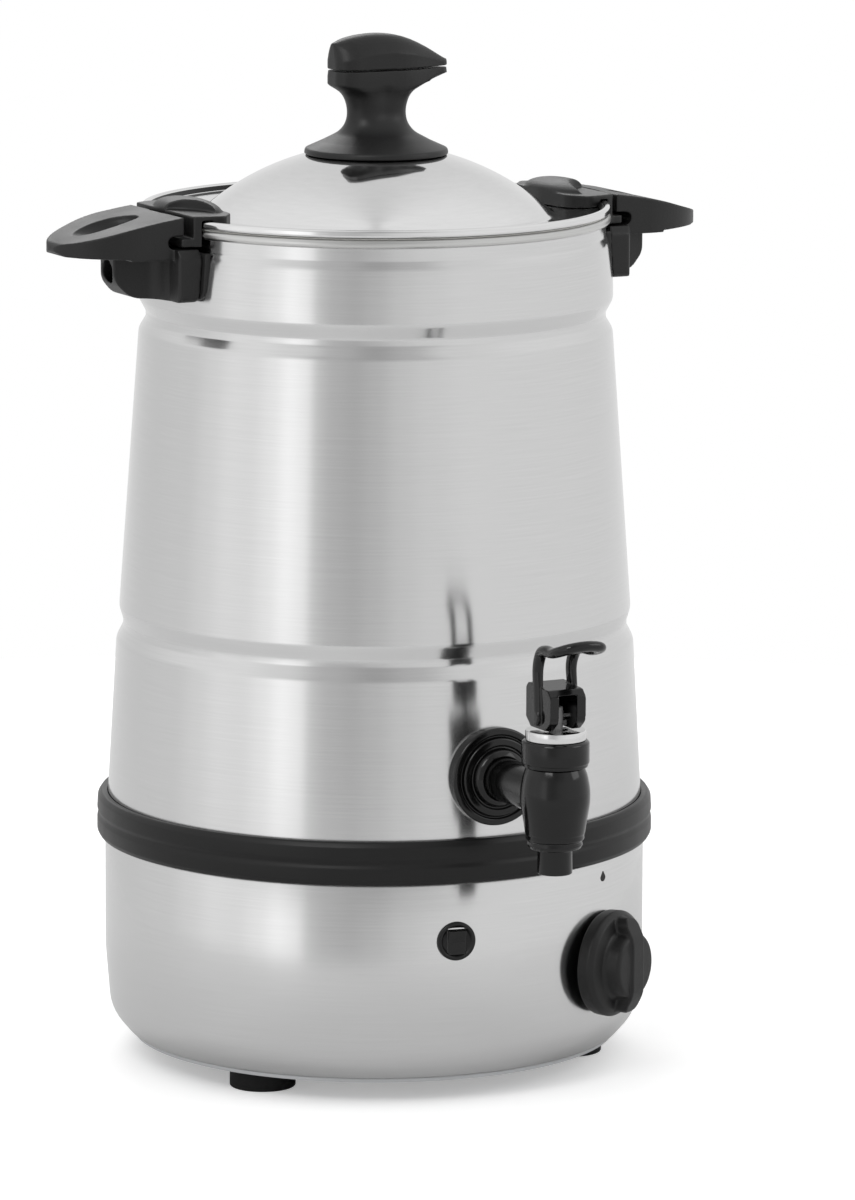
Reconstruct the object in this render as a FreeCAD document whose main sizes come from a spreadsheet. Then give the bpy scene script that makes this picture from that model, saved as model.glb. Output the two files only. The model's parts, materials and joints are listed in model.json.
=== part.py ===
import FreeCAD, Part
import math
import os
import Sketcher
from FreeCAD import Placement, Rotation, Vector

# Hot water urn with a lift-off lid and a draw-off tap.
# Frame: the origin is on the axis of the urn at the surface it stands on, +Z is up,
# the tap points along -Y and the two handles lie along -X and +X.

doc = FreeCAD.newDocument("hot_water_urn")
sheet = doc.addObject("Spreadsheet::Sheet", "Sizes")


# Driving dimensions in millimetres and degrees

DRIVING = (
    ("Vessel", None),
    ("wall", 0.8),
    ("rim_radius", 99.1),
    ("rim_bottom", 357.2),
    ("rim_height", 3.7),
    ("neck_inset", 2.1),
    ("neck_radius", "rim_radius - neck_inset"),
    ("neck_length", 5.7),
    ("neck_bottom", "rim_bottom - neck_length"),
    ("shoulder_step", 1.4),
    ("shoulder_radius", "neck_radius + shoulder_step"),
    ("shoulder_drop", 2.2),
    ("shoulder_top", "neck_bottom - shoulder_drop"),
    ("chest_swell", 1.8),
    ("chest_radius", "shoulder_radius + chest_swell"),
    ("upper_bead_drop", 38.9),
    ("upper_bead_rise", 11.7),
    ("upper_bead_fall", 6.8),
    ("upper_bead_depth", 3.0),
    ("upper_bead_curve", 9.0),
    ("upper_bead_height", "rim_bottom - upper_bead_drop"),
    ("upper_bead_top", "upper_bead_height + upper_bead_rise"),
    ("upper_bead_bottom", "upper_bead_height - upper_bead_fall"),
    ("upper_bead_radius", "chest_radius - upper_bead_depth"),
    ("bead_floor", 2.4),
    ("bead_floor_curve", 3.0),
    ("waist_top_radius", 108.7),
    ("lower_bead_lift", 82.1),
    ("lower_bead_rise", 7.9),
    ("lower_bead_fall", 7.1),
    ("lower_bead_depth", 1.5),
    ("lower_bead_curve", 12.0),
    ("lower_bead_height", "seam_height + lower_bead_lift"),
    ("lower_bead_top", "lower_bead_height + lower_bead_rise"),
    ("lower_bead_bottom", "lower_bead_height - lower_bead_fall"),
    ("lower_bead_radius", "waist_top_radius - lower_bead_depth"),
    ("waist_step", 1.3),
    ("waist_bottom_radius", "waist_top_radius + waist_step"),
    ("seam_inset", 0.6),
    ("seam_radius", "base_radius - seam_inset"),
    ("seam_height", 104.5),
    ("tank_gap", 2.5),
    ("tank_radius", "neck_radius - tank_gap"),
    ("tank_lift", 15.5),
    ("tank_bottom", "seam_height + tank_lift"),
    ("tank_corner", 6.0),
    ("Base", None),
    ("base_radius", 115.0),
    ("base_straight_end", 45.0),
    ("base_foot_taper", 2.4),
    ("base_foot_radius", "base_radius - base_foot_taper"),
    ("base_foot_height", 20.0),
    ("base_turn", 10.5),
    ("base_turn_radius", "base_radius - base_turn"),
    ("base_turn_curve", 14.0),
    ("base_flange", 8.5),
    ("base_flange_radius", "base_turn_radius - base_flange"),
    ("base_plate_thickness", 1.4),
    ("base_plate_margin", 1.5),
    ("base_plate_radius", "base_turn_radius - base_plate_margin"),
    ("foot_height", 9.0),
    ("foot_radius", 13.9),
    ("foot_inset", 20.5),
    ("foot_circle_radius", "base_turn_radius - foot_inset"),
    ("foot_count", 3),
    ("foot_screw_radius", 2.0),
    ("foot_disc_radius", 12.0),
    ("foot_disc_thickness", 1.0),
    ("foot_screw_reach", 4.0),
    ("foot_nut_radius", 3.8),
    ("foot_nut_height", 3.0),
    ("band_overhang", 3.3),
    ("band_radius", "base_radius + band_overhang"),
    ("band_height", 18.7),
    ("band_notch", 0.6),
    ("band_tongue", 3.0),
    ("band_tongue_depth", 4.3),
    ("band_bulge_curve", 14.0),
    ("band_edge_curve", 2.2),
    ("Heating", None),
    ("heater_plate_radius", 70.0),
    ("heater_plate_thickness", 3.0),
    ("heater_coil_radius", 52.0),
    ("heater_tube_radius", 3.75),
    ("heater_gap_angle", 50.0),
    ("heater_pin_length", 16.0),
    ("clamp_length", 124.0),
    ("clamp_width", 16.0),
    ("clamp_thickness", 1.5),
    ("clamp_stud_radius", 3.0),
    ("clamp_stud_end", 2.5),
    ("clamp_nut_flats", 10.0),
    ("clamp_nut_height", 5.0),
    ("cutout_radius", 8.0),
    ("cutout_height", 7.0),
    ("cutout_place", 25.0),
    ("cutout_tab_width", 6.2),
    ("cutout_tab_length", 9.0),
    ("cutout_tab_thickness", 0.8),
    ("terminal_length", 40.0),
    ("terminal_width", 20.0),
    ("terminal_height", 14.0),
    ("terminal_place", 40.0),
    ("Inlet", None),
    ("gland_height", 32.0),
    ("gland_bore_radius", 3.6),
    ("gland_thread_radius", 6.0),
    ("gland_thread_length", 9.0),
    ("gland_flange_radius", 9.5),
    ("gland_flange_thickness", 4.0),
    ("gland_bevel", 1.5),
    ("gland_nut_inset", 2.4),
    ("Controls", None),
    ("knob_angle", 30.3),
    ("knob_height", 52.0),
    ("dial_radius", 22.5),
    ("dial_depth", 17.0),
    ("dial_gap", 1.2),
    ("dial_cap", 4.0),
    ("dial_bevel", 1.6),
    ("dial_crown", 40.0),
    ("thermostat_length", 34.0),
    ("thermostat_depth", 22.0),
    ("thermostat_inset", 5.5),
    ("thermostat_front", "base_radius - thermostat_inset"),
    ("bush_radius", 4.8),
    ("bush_nut_thickness", 2.4),
    ("spindle_radius", 3.0),
    ("spindle_seat", 8.0),
    ("switch_angle", -9.1),
    ("switch_height", 71.0),
    ("bezel_radius", 8.2),
    ("bezel_lip", 1.6),
    ("switch_body_radius", 6.9),
    ("switch_depth", 19.0),
    ("rocker_width", 7.4),
    ("rocker_length", 10.6),
    ("rocker_pin_radius", 1.0),
    ("rocker_pin_length", 1.2),
    ("rocker_pin_depth", 2.2),
    ("rocker_tilt", 8.0),
    ("Lid", None),
    ("brim_inset", 3.7),
    ("brim_width", 20.4),
    ("dome_radius", "rim_radius - brim_inset - brim_width"),
    ("dome_rise", 29.0),
    ("dome_drop", 0.3),
    ("dome_bottom", "rim_bottom + rim_height - dome_drop"),
    ("lid_top", "dome_bottom + dome_rise"),
    ("brim_radius", "rim_radius - brim_inset"),
    ("brim_rise", 1.6),
    ("lip_rise", 4.0),
    ("lip_top", "rim_bottom + rim_height + lip_rise"),
    ("lip_radius", "rim_radius"),
    ("lip_depth", 3.3),
    ("lip_curve", 1.4),
    ("gasket_thickness", 0.45),
    ("gasket_skirt", 7.0),
    ("gasket_width", 2.2),
    ("Lid knob", None),
    ("flange_radius", 30.2),
    ("flange_drop", 3.6),
    ("flange_edge", "lid_top - flange_drop"),
    ("waist_radius", 11.9),
    ("stem_flare", 9.4),
    ("stem_flare_curve", 26.0),
    ("stem_hollow_curve", 11.0),
    ("flange_curve", 12.0),
    ("waist_rise", 15.9),
    ("waist_height", "lid_top + waist_rise"),
    ("grip_rise", 11.0),
    ("grip_bottom", "waist_height + grip_rise"),
    ("grip_side", 4.8),
    ("grip_split", "grip_bottom + grip_side"),
    ("grip_gap", 0.7),
    ("grip_cap", 15.6),
    ("grip_top", "grip_split + grip_cap"),
    ("grip_length", 54.0),
    ("grip_blunt_end", 22.5),
    ("grip_width", 18.5),
    ("grip_corner", 2.2),
    ("grip_arch", 7.6),
    ("grip_ridge_curve", 78.0),
    ("grip_ridge_place", 2.0),
    ("grip_sweep", 60.0),
    ("knob_screw_radius", 2.5),
    ("knob_screw_head", 4.6),
    ("knob_screw_drive", 3.4),
    ("knob_washer_radius", 8.0),
    ("knob_washer_thickness", 1.5),
    ("Handles", None),
    ("deck_rise", 2.4),
    ("deck_height", "lip_top + deck_rise"),
    ("ear_inset", 1.9),
    ("ear_face", "rim_radius - ear_inset"),
    ("ear_half_width", 28.4),
    ("ear_flare", 4.6),
    ("ear_depth", 19.7),
    ("ear_reach", "ear_face - ear_depth"),
    ("swing_clearance", 4.2),
    ("ear_bump_length", 20.0),
    ("ear_bump_width", 10.4),
    ("ear_bump_height", 5.4),
    ("tongue_length", 5.8),
    ("tongue_thickness", 3.4),
    ("tongue_drop", 9.7),
    ("tongue_top", "deck_height - tongue_drop"),
    ("tongue_bottom", "tongue_top - tongue_thickness"),
    ("handle_length", 48.6),
    ("handle_reach", "ear_face + swing_clearance + handle_length"),
    ("handle_droop", 12.7),
    ("handle_tip_height", "deck_height - handle_droop"),
    ("handle_drop", 17.5),
    ("handle_bottom", "deck_height - handle_drop"),
    ("handle_root_width", 32.6),
    ("handle_crown", 95.0),
    ("handle_belly", 90.0),
    ("leaf_curve", 110.0),
    ("leaf_tip_curve", 17.0),
    ("leaf_tip_length", 9.5),
    ("flange_drop_below", 35.8),
    ("flange_bottom", "deck_height - flange_drop_below"),
    ("finger_length", 21.4),
    ("finger_reach", "ear_face + swing_clearance + finger_length"),
    ("finger_half_width", 7.2),
    ("finger_curve", 40.0),
    ("finger_root", 7.5),
    ("finger_root_curve", 14.0),
    ("finger_slope", 15.5),
    ("finger_slope_curve", 15.0),
    ("plate_thickness", 2.6),
    ("plate_gap", 1.3),
    ("plate_angle", 39.0),
    ("boss_radius", 5.0),
    ("handle_screw_drop", 25.3),
    ("handle_screw_height", "deck_height - handle_screw_drop"),
    ("handle_screw_radius", 2.5),
    ("handle_screw_head", 4.2),
    ("handle_screw_seat", 10.0),
    ("rivet_inset", 13.6),
    ("rivet_place", "rim_radius - rivet_inset"),
    ("rivet_spread", 22.0),
    ("rivet_radius", 1.6),
    ("rivet_head", 2.6),
    ("rivet_depth", 3.6),
    ("Tap", None),
    ("tap_lift", 34.4),
    ("tap_height", "seam_height + tap_lift"),
    ("tap_length", 51.0),
    ("tap_reach", "base_radius + tap_length"),
    ("shank_radius", 9.0),
    ("shank_bore_radius", 5.6),
    ("shank_inside", 12.5),
    ("shank_end", "tank_radius - shank_inside"),
    ("rose_radius", 20.4),
    ("rose_depth", 9.0),
    ("barrel_radius", 14.2),
    ("barrel_rise", 21.5),
    ("barrel_top", "tap_height + barrel_rise"),
    ("barrel_fall", 19.7),
    ("barrel_bottom", "tap_height - barrel_fall"),
    ("barrel_swell", 62.0),
    ("barrel_shoulder", 45.0),
    ("spout_length", 11.2),
    ("spout_bottom", "barrel_bottom - spout_length"),
    ("spout_radius", 7.0),
    ("spout_bore_radius", 5.0),
    ("chamber_radius", 9.6),
    ("seat_drop", 12.9),
    ("seat_height", "tap_height - seat_drop"),
    ("collar_height", 7.8),
    ("collar_radius", 13.9),
    ("collar_lip", 1.6),
    ("bonnet_thickness", 1.4),
    ("thread_radius", 12.4),
    ("trim_height", 5.0),
    ("trim_radius", 12.4),
    ("nut_flats", 24.0),
    ("nut_thickness", 6.0),
    ("washer_thickness", 2.5),
    ("spacer_wall", 3.0),
    ("Lever", None),
    ("stem_radius", 2.9),
    ("pin_radius", 1.6),
    ("pin_head", 1.6),
    ("pin_height", 4.8),
    ("cam_reach", 6.0),
    ("lever_half_width", 7.7),
    ("lever_slot", 3.3),
    ("lever_height", 18.0),
    ("loop_height", 32.0),
    ("loop_reach", 28.0),
    ("loop_half_width", 10.5),
    ("loop_bar", 5.4),
    ("loop_thickness", 5.0),
    ("loop_tilt", 10.0),
    ("arm_outer", 9.2),
    ("arm_inner", 5.6),
    ("Fits", None),
    ("hairline", 0.1),
    ("snug", 0.1),
    ("running", 0.3),
)


class Size:
    """A length that knows its number and the sheet formula behind it."""

    def __init__(self, value, formula):
        self.value = value
        self.formula = formula

    def __add__(self, other):
        other = as_size(other)
        return Size(self.value + other.value, f"({self.formula} + {other.formula})")

    def __sub__(self, other):
        other = as_size(other)
        return Size(self.value - other.value, f"({self.formula} - {other.formula})")

    def __mul__(self, other):
        other = as_size(other)
        return Size(self.value * other.value, f"({self.formula} * {other.formula})")

    def __truediv__(self, other):
        other = as_size(other)
        return Size(self.value / other.value, f"({self.formula} / {other.formula})")

    def __neg__(self):
        return Size(-self.value, f"(0 - {self.formula})")

    def __radd__(self, other):
        return as_size(other) + self

    def __rsub__(self, other):
        return as_size(other) - self

    def __rmul__(self, other):
        return as_size(other) * self

    def __rtruediv__(self, other):
        return as_size(other) / self


def as_size(number):
    """Give a plain number the same form as a size from the sheet."""
    if isinstance(number, Size):
        return number
    digits = f"{abs(float(number)):.6f}"
    return Size(float(number), digits if number >= 0 else f"(0 - {digits})")


def root(size):
    return Size(math.sqrt(size.value), f"sqrt({size.formula})")


def sine(angle):
    return Size(math.sin(math.radians(angle.value)), f"sin({angle.formula})")


def cosine(angle):
    return Size(math.cos(math.radians(angle.value)), f"cos({angle.formula})")


class Sheet:
    """The dimensions by name, each one a cell of the spreadsheet."""


# A number drives the model; a formula follows other cells.
size = Sheet()
for row, (name, entry) in enumerate(DRIVING, start=1):
    sheet.set(f"A{row}", name)
    if entry is not None:
        sheet.setAlias(f"B{row}", name)
for row, (name, entry) in enumerate(DRIVING, start=1):
    if entry is not None:
        sheet.set(f"B{row}", f"={entry}")
doc.recompute()
for name, entry in DRIVING:
    if entry is not None:
        setattr(size, name, Size(float(getattr(sheet, name)), f"Sizes.{name}"))


# Helpers that draw fully constrained sketches and build features from them

parts = {}


def new_body(label):
    body = doc.addObject("PartDesign::Body", label)
    body.Label = label
    parts[label] = body
    return body


def new_sketch(body, plane, offset=None):
    """A sketch on one of the body's own planes, moved along its normal by the offset."""
    sketch = body.newObject("Sketcher::SketchObject", f"{body.Label}_sketch")
    support = [feature for feature in body.Origin.OriginFeatures if feature.Role == plane][0]
    sketch.AttachmentSupport = [(support, "")]
    sketch.MapMode = "FlatFace"
    if offset is not None:
        offset = as_size(offset)
        sketch.AttachmentOffset = Placement(Vector(0, 0, offset.value), Rotation())
        sketch.setExpression("AttachmentOffset.Base.z", offset.formula)
    return sketch


def fix_point(sketch, geometry, vertex, across, up):
    """Hold one vertex at its distances from the sketch origin."""
    for kind, distance in (("DistanceX", as_size(across)), ("DistanceY", as_size(up))):
        constraint = Sketcher.Constraint(kind, -1, 1, geometry, vertex, distance.value)
        number = sketch.addConstraint(constraint)
        sketch.setExpression(f"Constraints[{number}]", distance.formula)


def arc_between(start, end, radius):
    """The shorter arc from start to end: a positive radius turns left, a negative one turns right."""
    chord = end - start
    half = chord.Length / 2
    if abs(radius) < half:
        raise ValueError(f"an arc of radius {radius:.2f} cannot span {chord.Length:.2f}")
    rise = math.sqrt(radius * radius - half * half)
    side = 1 if radius > 0 else -1
    normal = Vector(-chord.y, chord.x, 0).normalize()
    centre = start + chord * 0.5 + normal * rise * side
    circle = Part.Circle(centre, Vector(0, 0, 1), abs(radius))
    first = math.atan2(start.y - centre.y, start.x - centre.x)
    last = math.atan2(end.y - centre.y, end.x - centre.x)
    if radius > 0:
        return Part.ArcOfCircle(circle, first, last)
    return Part.ArcOfCircle(circle, last, first)


def draw(sketch, corners):
    """Draw a closed outline.

    A corner is (across, up), or (across, up, radius) where an arc of that radius leads to the next one.
    """
    start_vertex = []
    first = sketch.GeometryCount
    count = len(corners)
    spots = [Vector(as_size(corner[0]).value, as_size(corner[1]).value, 0) for corner in corners]
    for index, corner in enumerate(corners):
        here = spots[index]
        there = spots[(index + 1) % count]
        if len(corner) == 2:
            sketch.addGeometry(Part.LineSegment(here, there), False)
            start_vertex.append(1)
        else:
            radius = as_size(corner[2])
            sketch.addGeometry(arc_between(here, there, radius.value), False)
            start_vertex.append(1 if radius.value > 0 else 2)
    for index, corner in enumerate(corners):
        edge = first + index
        following = first + (index + 1) % count
        end_vertex = 3 - start_vertex[index]
        joined = start_vertex[(index + 1) % count]
        sketch.addConstraint(Sketcher.Constraint("Coincident", edge, end_vertex, following, joined))
        fix_point(sketch, edge, start_vertex[index], corner[0], corner[1])
        if len(corner) == 3:
            radius = as_size(corner[2])
            number = sketch.addConstraint(Sketcher.Constraint("Radius", edge, abs(radius.value)))
            formula = radius.formula if radius.value > 0 else f"(0 - {radius.formula})"
            sketch.setExpression(f"Constraints[{number}]", formula)


def draw_circle(sketch, across, up, radius):
    radius = as_size(radius)
    centre = Vector(as_size(across).value, as_size(up).value, 0)
    edge = sketch.addGeometry(Part.Circle(centre, Vector(0, 0, 1), radius.value), False)
    fix_point(sketch, edge, 3, across, up)
    number = sketch.addConstraint(Sketcher.Constraint("Radius", edge, radius.value))
    sketch.setExpression(f"Constraints[{number}]", radius.formula)


def rectangle(left, bottom, right, top):
    return [(left, bottom), (right, bottom), (right, top), (left, top)]


def polygon(flats, sides, turn=0.0):
    """The corners of a regular polygon, given the distance across its flats."""
    corners = []
    for index in range(sides):
        angle = math.radians(turn + 360.0 * index / sides)
        scale = 0.5 / math.cos(math.pi / sides)
        corners.append((flats * (scale * math.cos(angle)), flats * (scale * math.sin(angle))))
    return corners


def set_length(feature, name, length):
    length = as_size(length)
    setattr(feature, name, length.value)
    feature.setExpression(name, length.formula)


def pad(sketch, length, both_ways=False, reverse=False):
    body = sketch.getParentGeoFeatureGroup()
    feature = body.newObject("PartDesign::Pad", f"{body.Label}_pad")
    feature.Profile = sketch
    set_length(feature, "Length", length)
    feature.Midplane = both_ways
    feature.Reversed = reverse
    doc.recompute()
    return feature


def pocket(sketch, length=None, both_ways=False, reverse=False):
    """Cut a pocket and make sure that it takes material away."""
    body = sketch.getParentGeoFeatureGroup()
    before = body.Shape.Volume
    feature = body.newObject("PartDesign::Pocket", f"{body.Label}_pocket")
    feature.Profile = sketch
    if length is None:
        feature.Type = "ThroughAll"
    else:
        set_length(feature, "Length", length)
    feature.Midplane = both_ways
    feature.Reversed = reverse
    doc.recompute()
    if body.Shape.Volume >= before:
        raise RuntimeError(f"a pocket in {body.Label} cuts nothing")
    return feature


def turn(sketch, angle=360.0, kind="PartDesign::Revolution", both_ways=False):
    """Revolve the outline, or cut with it, about the upright axis of its sketch."""
    body = sketch.getParentGeoFeatureGroup()
    before = body.Shape.Volume if kind.endswith("Groove") else 0.0
    feature = body.newObject(kind, f"{body.Label}_turn")
    feature.Profile = sketch
    feature.ReferenceAxis = (sketch, ["V_Axis"])
    feature.Midplane = both_ways
    set_length(feature, "Angle", angle)
    doc.recompute()
    if kind.endswith("Groove") and body.Shape.Volume >= before:
        raise RuntimeError(f"a groove in {body.Label} cuts nothing")
    return feature


def turned_part(label, corners):
    """A body of revolution about its own Z axis."""
    body = new_body(label)
    outline = new_sketch(body, "XZ_Plane")
    draw(outline, corners)
    turn(outline)
    return body


def groove(body, corners, plane="XZ_Plane"):
    outline = new_sketch(body, plane)
    draw(outline, corners)
    return turn(outline, kind="PartDesign::Groove")


def place(body, position, rotation):
    """Put a body where its sizes say, with its placement bound to the sheet."""
    x, y, z = (as_size(value) for value in position)
    body.Placement = Placement(Vector(x.value, y.value, z.value), rotation)
    for axis, value in (("x", x), ("y", y), ("z", z)):
        body.setExpression(f"Placement.Base.{axis}", value.formula)


TOWARDS_FRONT = Rotation(Vector(1, 0, 0), 90)
TOWARDS_REAR = Rotation(Vector(1, 0, 0), -90)
TOWARDS_RIGHT = Rotation(Vector(0, 1, 0), 90)
TOWARDS_LEFT = Rotation(Vector(0, 1, 0), -90)
HALF_TURN = Rotation(Vector(0, 0, 1), 180)
NO_TURN = Rotation()


# Heights and radii that several pieces share

rim_top = size.rim_bottom + size.rim_height
tank_bore = size.tank_radius - size.wall
plate_top = size.foot_height + size.base_plate_thickness
band_bottom = size.seam_height - size.band_height / 2
band_top = size.seam_height + size.band_height / 2
tongue_low = size.seam_height - size.band_tongue / 2
tongue_high = size.seam_height + size.band_tongue / 2
lower_slope = (size.seam_radius - size.waist_bottom_radius) / (size.lower_bead_bottom - size.seam_height)
heater_top = size.tank_bottom
heater_bottom = heater_top - size.heater_plate_thickness
coil_centre = heater_bottom - size.heater_tube_radius
clamp_top = heater_bottom - size.heater_tube_radius * 2
handle_face = size.ear_face + size.swing_clearance
bush_end = size.base_radius + size.bush_nut_thickness + size.snug * 2
dial_back = size.base_radius + size.dial_gap
rocker_pivot = size.base_radius - size.rocker_pin_depth
lip_bottom = size.lip_top - size.lip_depth
brim_top = size.dome_bottom + size.brim_rise
brim_slope = size.brim_rise / (size.brim_radius - size.dome_radius)
rivet_seat = brim_top - size.wall - (size.brim_radius - size.rivet_place) * brim_slope
rivet_top = rivet_seat + size.rivet_depth
dome_rise = size.dome_rise
dome_curve = (size.dome_radius * size.dome_radius + dome_rise * dome_rise) / (dome_rise * 2)
base_drop = size.base_straight_end - size.base_foot_height
base_taper = size.base_foot_taper
base_curve = (base_taper * base_taper + base_drop * base_drop) / (base_taper * 2)
head_seat = handle_face + size.handle_screw_seat
grip_front = size.grip_length - size.grip_blunt_end
nut_face = tank_bore - size.washer_thickness
collar_top = size.barrel_top + size.collar_lip + size.bonnet_thickness
ring_top = collar_top + size.trim_height
pin_centre = ring_top + size.running / 3 + size.pin_height


def casing_radius(height):
    """Outer radius of the tapered casing below its lower bead."""
    return size.waist_bottom_radius + (size.lower_bead_bottom - height) * lower_slope


casing_at_tap = casing_radius(size.tap_height)


# Vessel

def upper_casing():
    """Tapered outer sheet with two rolled beads."""
    floor = size.bead_floor / 2
    outside = [
        (size.neck_radius, size.rim_bottom),
        (size.neck_radius, size.neck_bottom),
        (size.shoulder_radius, size.shoulder_top),
        (size.chest_radius, size.upper_bead_top, size.upper_bead_curve),
        (size.upper_bead_radius, size.upper_bead_height + floor, -size.bead_floor_curve),
        (size.upper_bead_radius, size.upper_bead_height - floor, size.upper_bead_curve),
        (size.chest_radius, size.upper_bead_bottom),
        (size.waist_top_radius, size.lower_bead_top, size.lower_bead_curve),
        (size.lower_bead_radius, size.lower_bead_height + floor, -size.bead_floor_curve),
        (size.lower_bead_radius, size.lower_bead_height - floor, size.lower_bead_curve),
        (size.waist_bottom_radius, size.lower_bead_bottom),
        (casing_radius(tongue_high), tongue_high),
    ]
    inside = []
    for index in range(len(outside) - 1, -1, -1):
        corner = outside[index]
        before = outside[index - 1] if index > 0 else None
        spot = (corner[0] - size.wall, corner[1])
        if before is not None and len(before) == 3:
            spot = spot + (-before[2],)
        inside.append(spot)
    body = turned_part("upper_casing", outside + inside)
    tap_hole(body, size.shank_radius + size.snug)
    return body


def tap_hole(body, radius):
    """A round hole through the front wall for the shank of the tap."""
    hole = new_sketch(body, "XZ_Plane")
    draw_circle(hole, 0, size.tap_height, radius)
    pocket(hole, reverse=True)


def tank():
    """Deep drawn water tank with a rolled rim that rests on the casing."""
    roll = size.rim_height / 2
    body = turned_part("tank", [
        (0, size.tank_bottom),
        (size.tank_radius - size.tank_corner, size.tank_bottom, size.tank_corner),
        (size.tank_radius, size.tank_bottom + size.tank_corner),
        (size.tank_radius, size.neck_bottom),
        (size.neck_radius - size.wall - 0.3, size.rim_bottom - 1),
        (size.neck_radius - size.wall - 0.3, size.rim_bottom),
        (size.rim_radius - roll, size.rim_bottom, roll),
        (size.rim_radius, size.rim_bottom + roll, roll),
        (size.rim_radius - roll, rim_top),
        (size.neck_radius - size.wall * 2, rim_top, 1.2),
        (size.neck_radius - size.wall * 2 - 1.0, rim_top - 1),
        (tank_bore, size.neck_bottom - 1),
        (tank_bore, size.tank_bottom + size.tank_corner, -(size.tank_corner - size.wall)),
        (size.tank_radius - size.tank_corner, size.tank_bottom + size.wall),
        (0, size.tank_bottom + size.wall),
    ])
    tap_hole(body, size.shank_radius + size.snug)
    return body


def base_casing():
    """Straight base shell that turns in at its foot to carry the base plate."""
    outside = [
        (size.base_radius, tongue_low),
        (size.base_radius, size.base_straight_end, -base_curve),
        (size.base_foot_radius, size.base_foot_height, -size.base_turn_curve),
        (size.base_turn_radius, plate_top),
        (size.base_flange_radius, plate_top),
    ]
    inside = [
        (size.base_flange_radius, plate_top + size.wall),
        (size.base_turn_radius, plate_top + size.wall, size.base_turn_curve - size.wall),
        (size.base_foot_radius - size.wall, size.base_foot_height, base_curve - size.wall),
        (size.base_radius - size.wall, size.base_straight_end),
        (size.base_radius - size.wall, tongue_low),
    ]
    body = turned_part("base_casing", outside + inside)
    for angle, height, radius in (
        (size.knob_angle, size.knob_height, size.bush_radius + size.snug),
        (size.switch_angle, size.switch_height, size.switch_body_radius + size.snug),
    ):
        cut_wall_hole(body, angle, height, radius)
    rear = new_sketch(body, "XZ_Plane")
    draw_circle(rear, 0, size.gland_height, size.gland_thread_radius + size.snug)
    pocket(rear)
    return body


def cut_wall_hole(body, angle, height, radius):
    """A round hole through the front wall, square to the wall at the given angle from the tap."""
    hole = new_sketch(body, "XZ_Plane")
    hole.AttachmentOffset = Placement(Vector(0, 0, 0), Rotation(Vector(0, 1, 0), angle.value))
    hole.setExpression("AttachmentOffset.Rotation.Angle", angle.formula)
    draw_circle(hole, 0, height, radius)
    pocket(hole, reverse=True)


def joint_band():
    """Soft band with two bulges that covers the seam and holds both sheet edges on its tongue."""
    bulge = size.band_height / 4
    tongue_radius = size.base_radius - size.band_tongue_depth
    return turned_part("joint_band", [
        (size.base_radius + size.snug, band_bottom + 0.6),
        (size.band_radius - 2.0, band_bottom, size.band_edge_curve),
        (size.band_radius, band_bottom + bulge * 0.7, size.band_bulge_curve),
        (size.band_radius - size.band_notch, size.seam_height, size.band_bulge_curve),
        (size.band_radius, band_top - bulge * 0.7, size.band_edge_curve),
        (size.band_radius - 2.2, band_top),
        (casing_radius(band_top) + size.snug, band_top - 0.6),
        (casing_radius(tongue_high) + size.snug, tongue_high),
        (tongue_radius, tongue_high),
        (tongue_radius, tongue_low),
        (size.base_radius + size.snug, tongue_low),
    ])


def base_plate():
    """Bottom plate with holes for the foot screws."""
    body = new_body("base_plate")
    disc = new_sketch(body, "XY_Plane", size.foot_height)
    draw_circle(disc, 0, 0, size.base_plate_radius)
    pad(disc, size.base_plate_thickness)
    holes = new_sketch(body, "XY_Plane", size.foot_height)
    for across, along in foot_places():
        draw_circle(holes, across, along, size.foot_screw_radius + size.snug)
    pocket(holes, reverse=True)
    return body


def foot_places():
    """Centres of the feet: evenly spaced, with one at the back."""
    places = []
    for index in range(int(size.foot_count.value)):
        angle = 90 + 360 * index / size.foot_count
        places.append((size.foot_circle_radius * cosine(angle), size.foot_circle_radius * sine(angle)))
    return places


def feet():
    """Round rubber feet, each bonded to the steel disc of its stud."""
    top = size.foot_height - size.foot_disc_thickness
    return repeated_turning("feet", [
        (0, 0),
        (size.foot_radius, 0),
        (size.foot_radius, top),
        (0, top),
    ])


def foot_screws():
    """Studs of the feet, each on its disc, with a round flange nut above the base plate."""
    shank = size.foot_screw_radius
    nut_top = plate_top + size.foot_nut_height
    return repeated_turning("foot_screws", [
        (0, size.foot_height - size.foot_disc_thickness),
        (size.foot_disc_radius, size.foot_height - size.foot_disc_thickness),
        (size.foot_disc_radius, size.foot_height),
        (shank, size.foot_height),
        (shank, plate_top),
        (size.foot_nut_radius, plate_top),
        (size.foot_nut_radius, nut_top),
        (shank, nut_top),
        (shank, plate_top + size.foot_screw_reach),
        (0, plate_top + size.foot_screw_reach),
    ])


def repeated_turning(label, corners):
    """The same turned piece under each foot place, kept as separate solids in one node."""
    pieces = []
    for index, (across, along) in enumerate(foot_places(), start=1):
        piece = doc.addObject("PartDesign::Body", f"{label}_{index}")
        outline = new_sketch(piece, "XZ_Plane")
        draw(outline, corners)
        turn(outline)
        place(piece, (across, along, 0), NO_TURN)
        pieces.append(piece)
    return grouped(label, pieces)


def grouped(label, pieces):
    """A compound of separate solids that share one node."""
    group = doc.addObject("Part::Compound", label)
    group.Label = label
    group.Links = pieces
    parts[label] = group
    doc.recompute()
    return group


# Heating and wiring under the tank

def hanging_disc(label, radius, top, depth, places=((0, 0),)):
    """A flat round piece, or several alike, whose upper face is at the given height."""
    body = new_body(label)
    outline = new_sketch(body, "XY_Plane", top)
    for across, along in places:
        draw_circle(outline, across, along, radius)
    pad(outline, depth, reverse=True)
    return body


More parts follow.
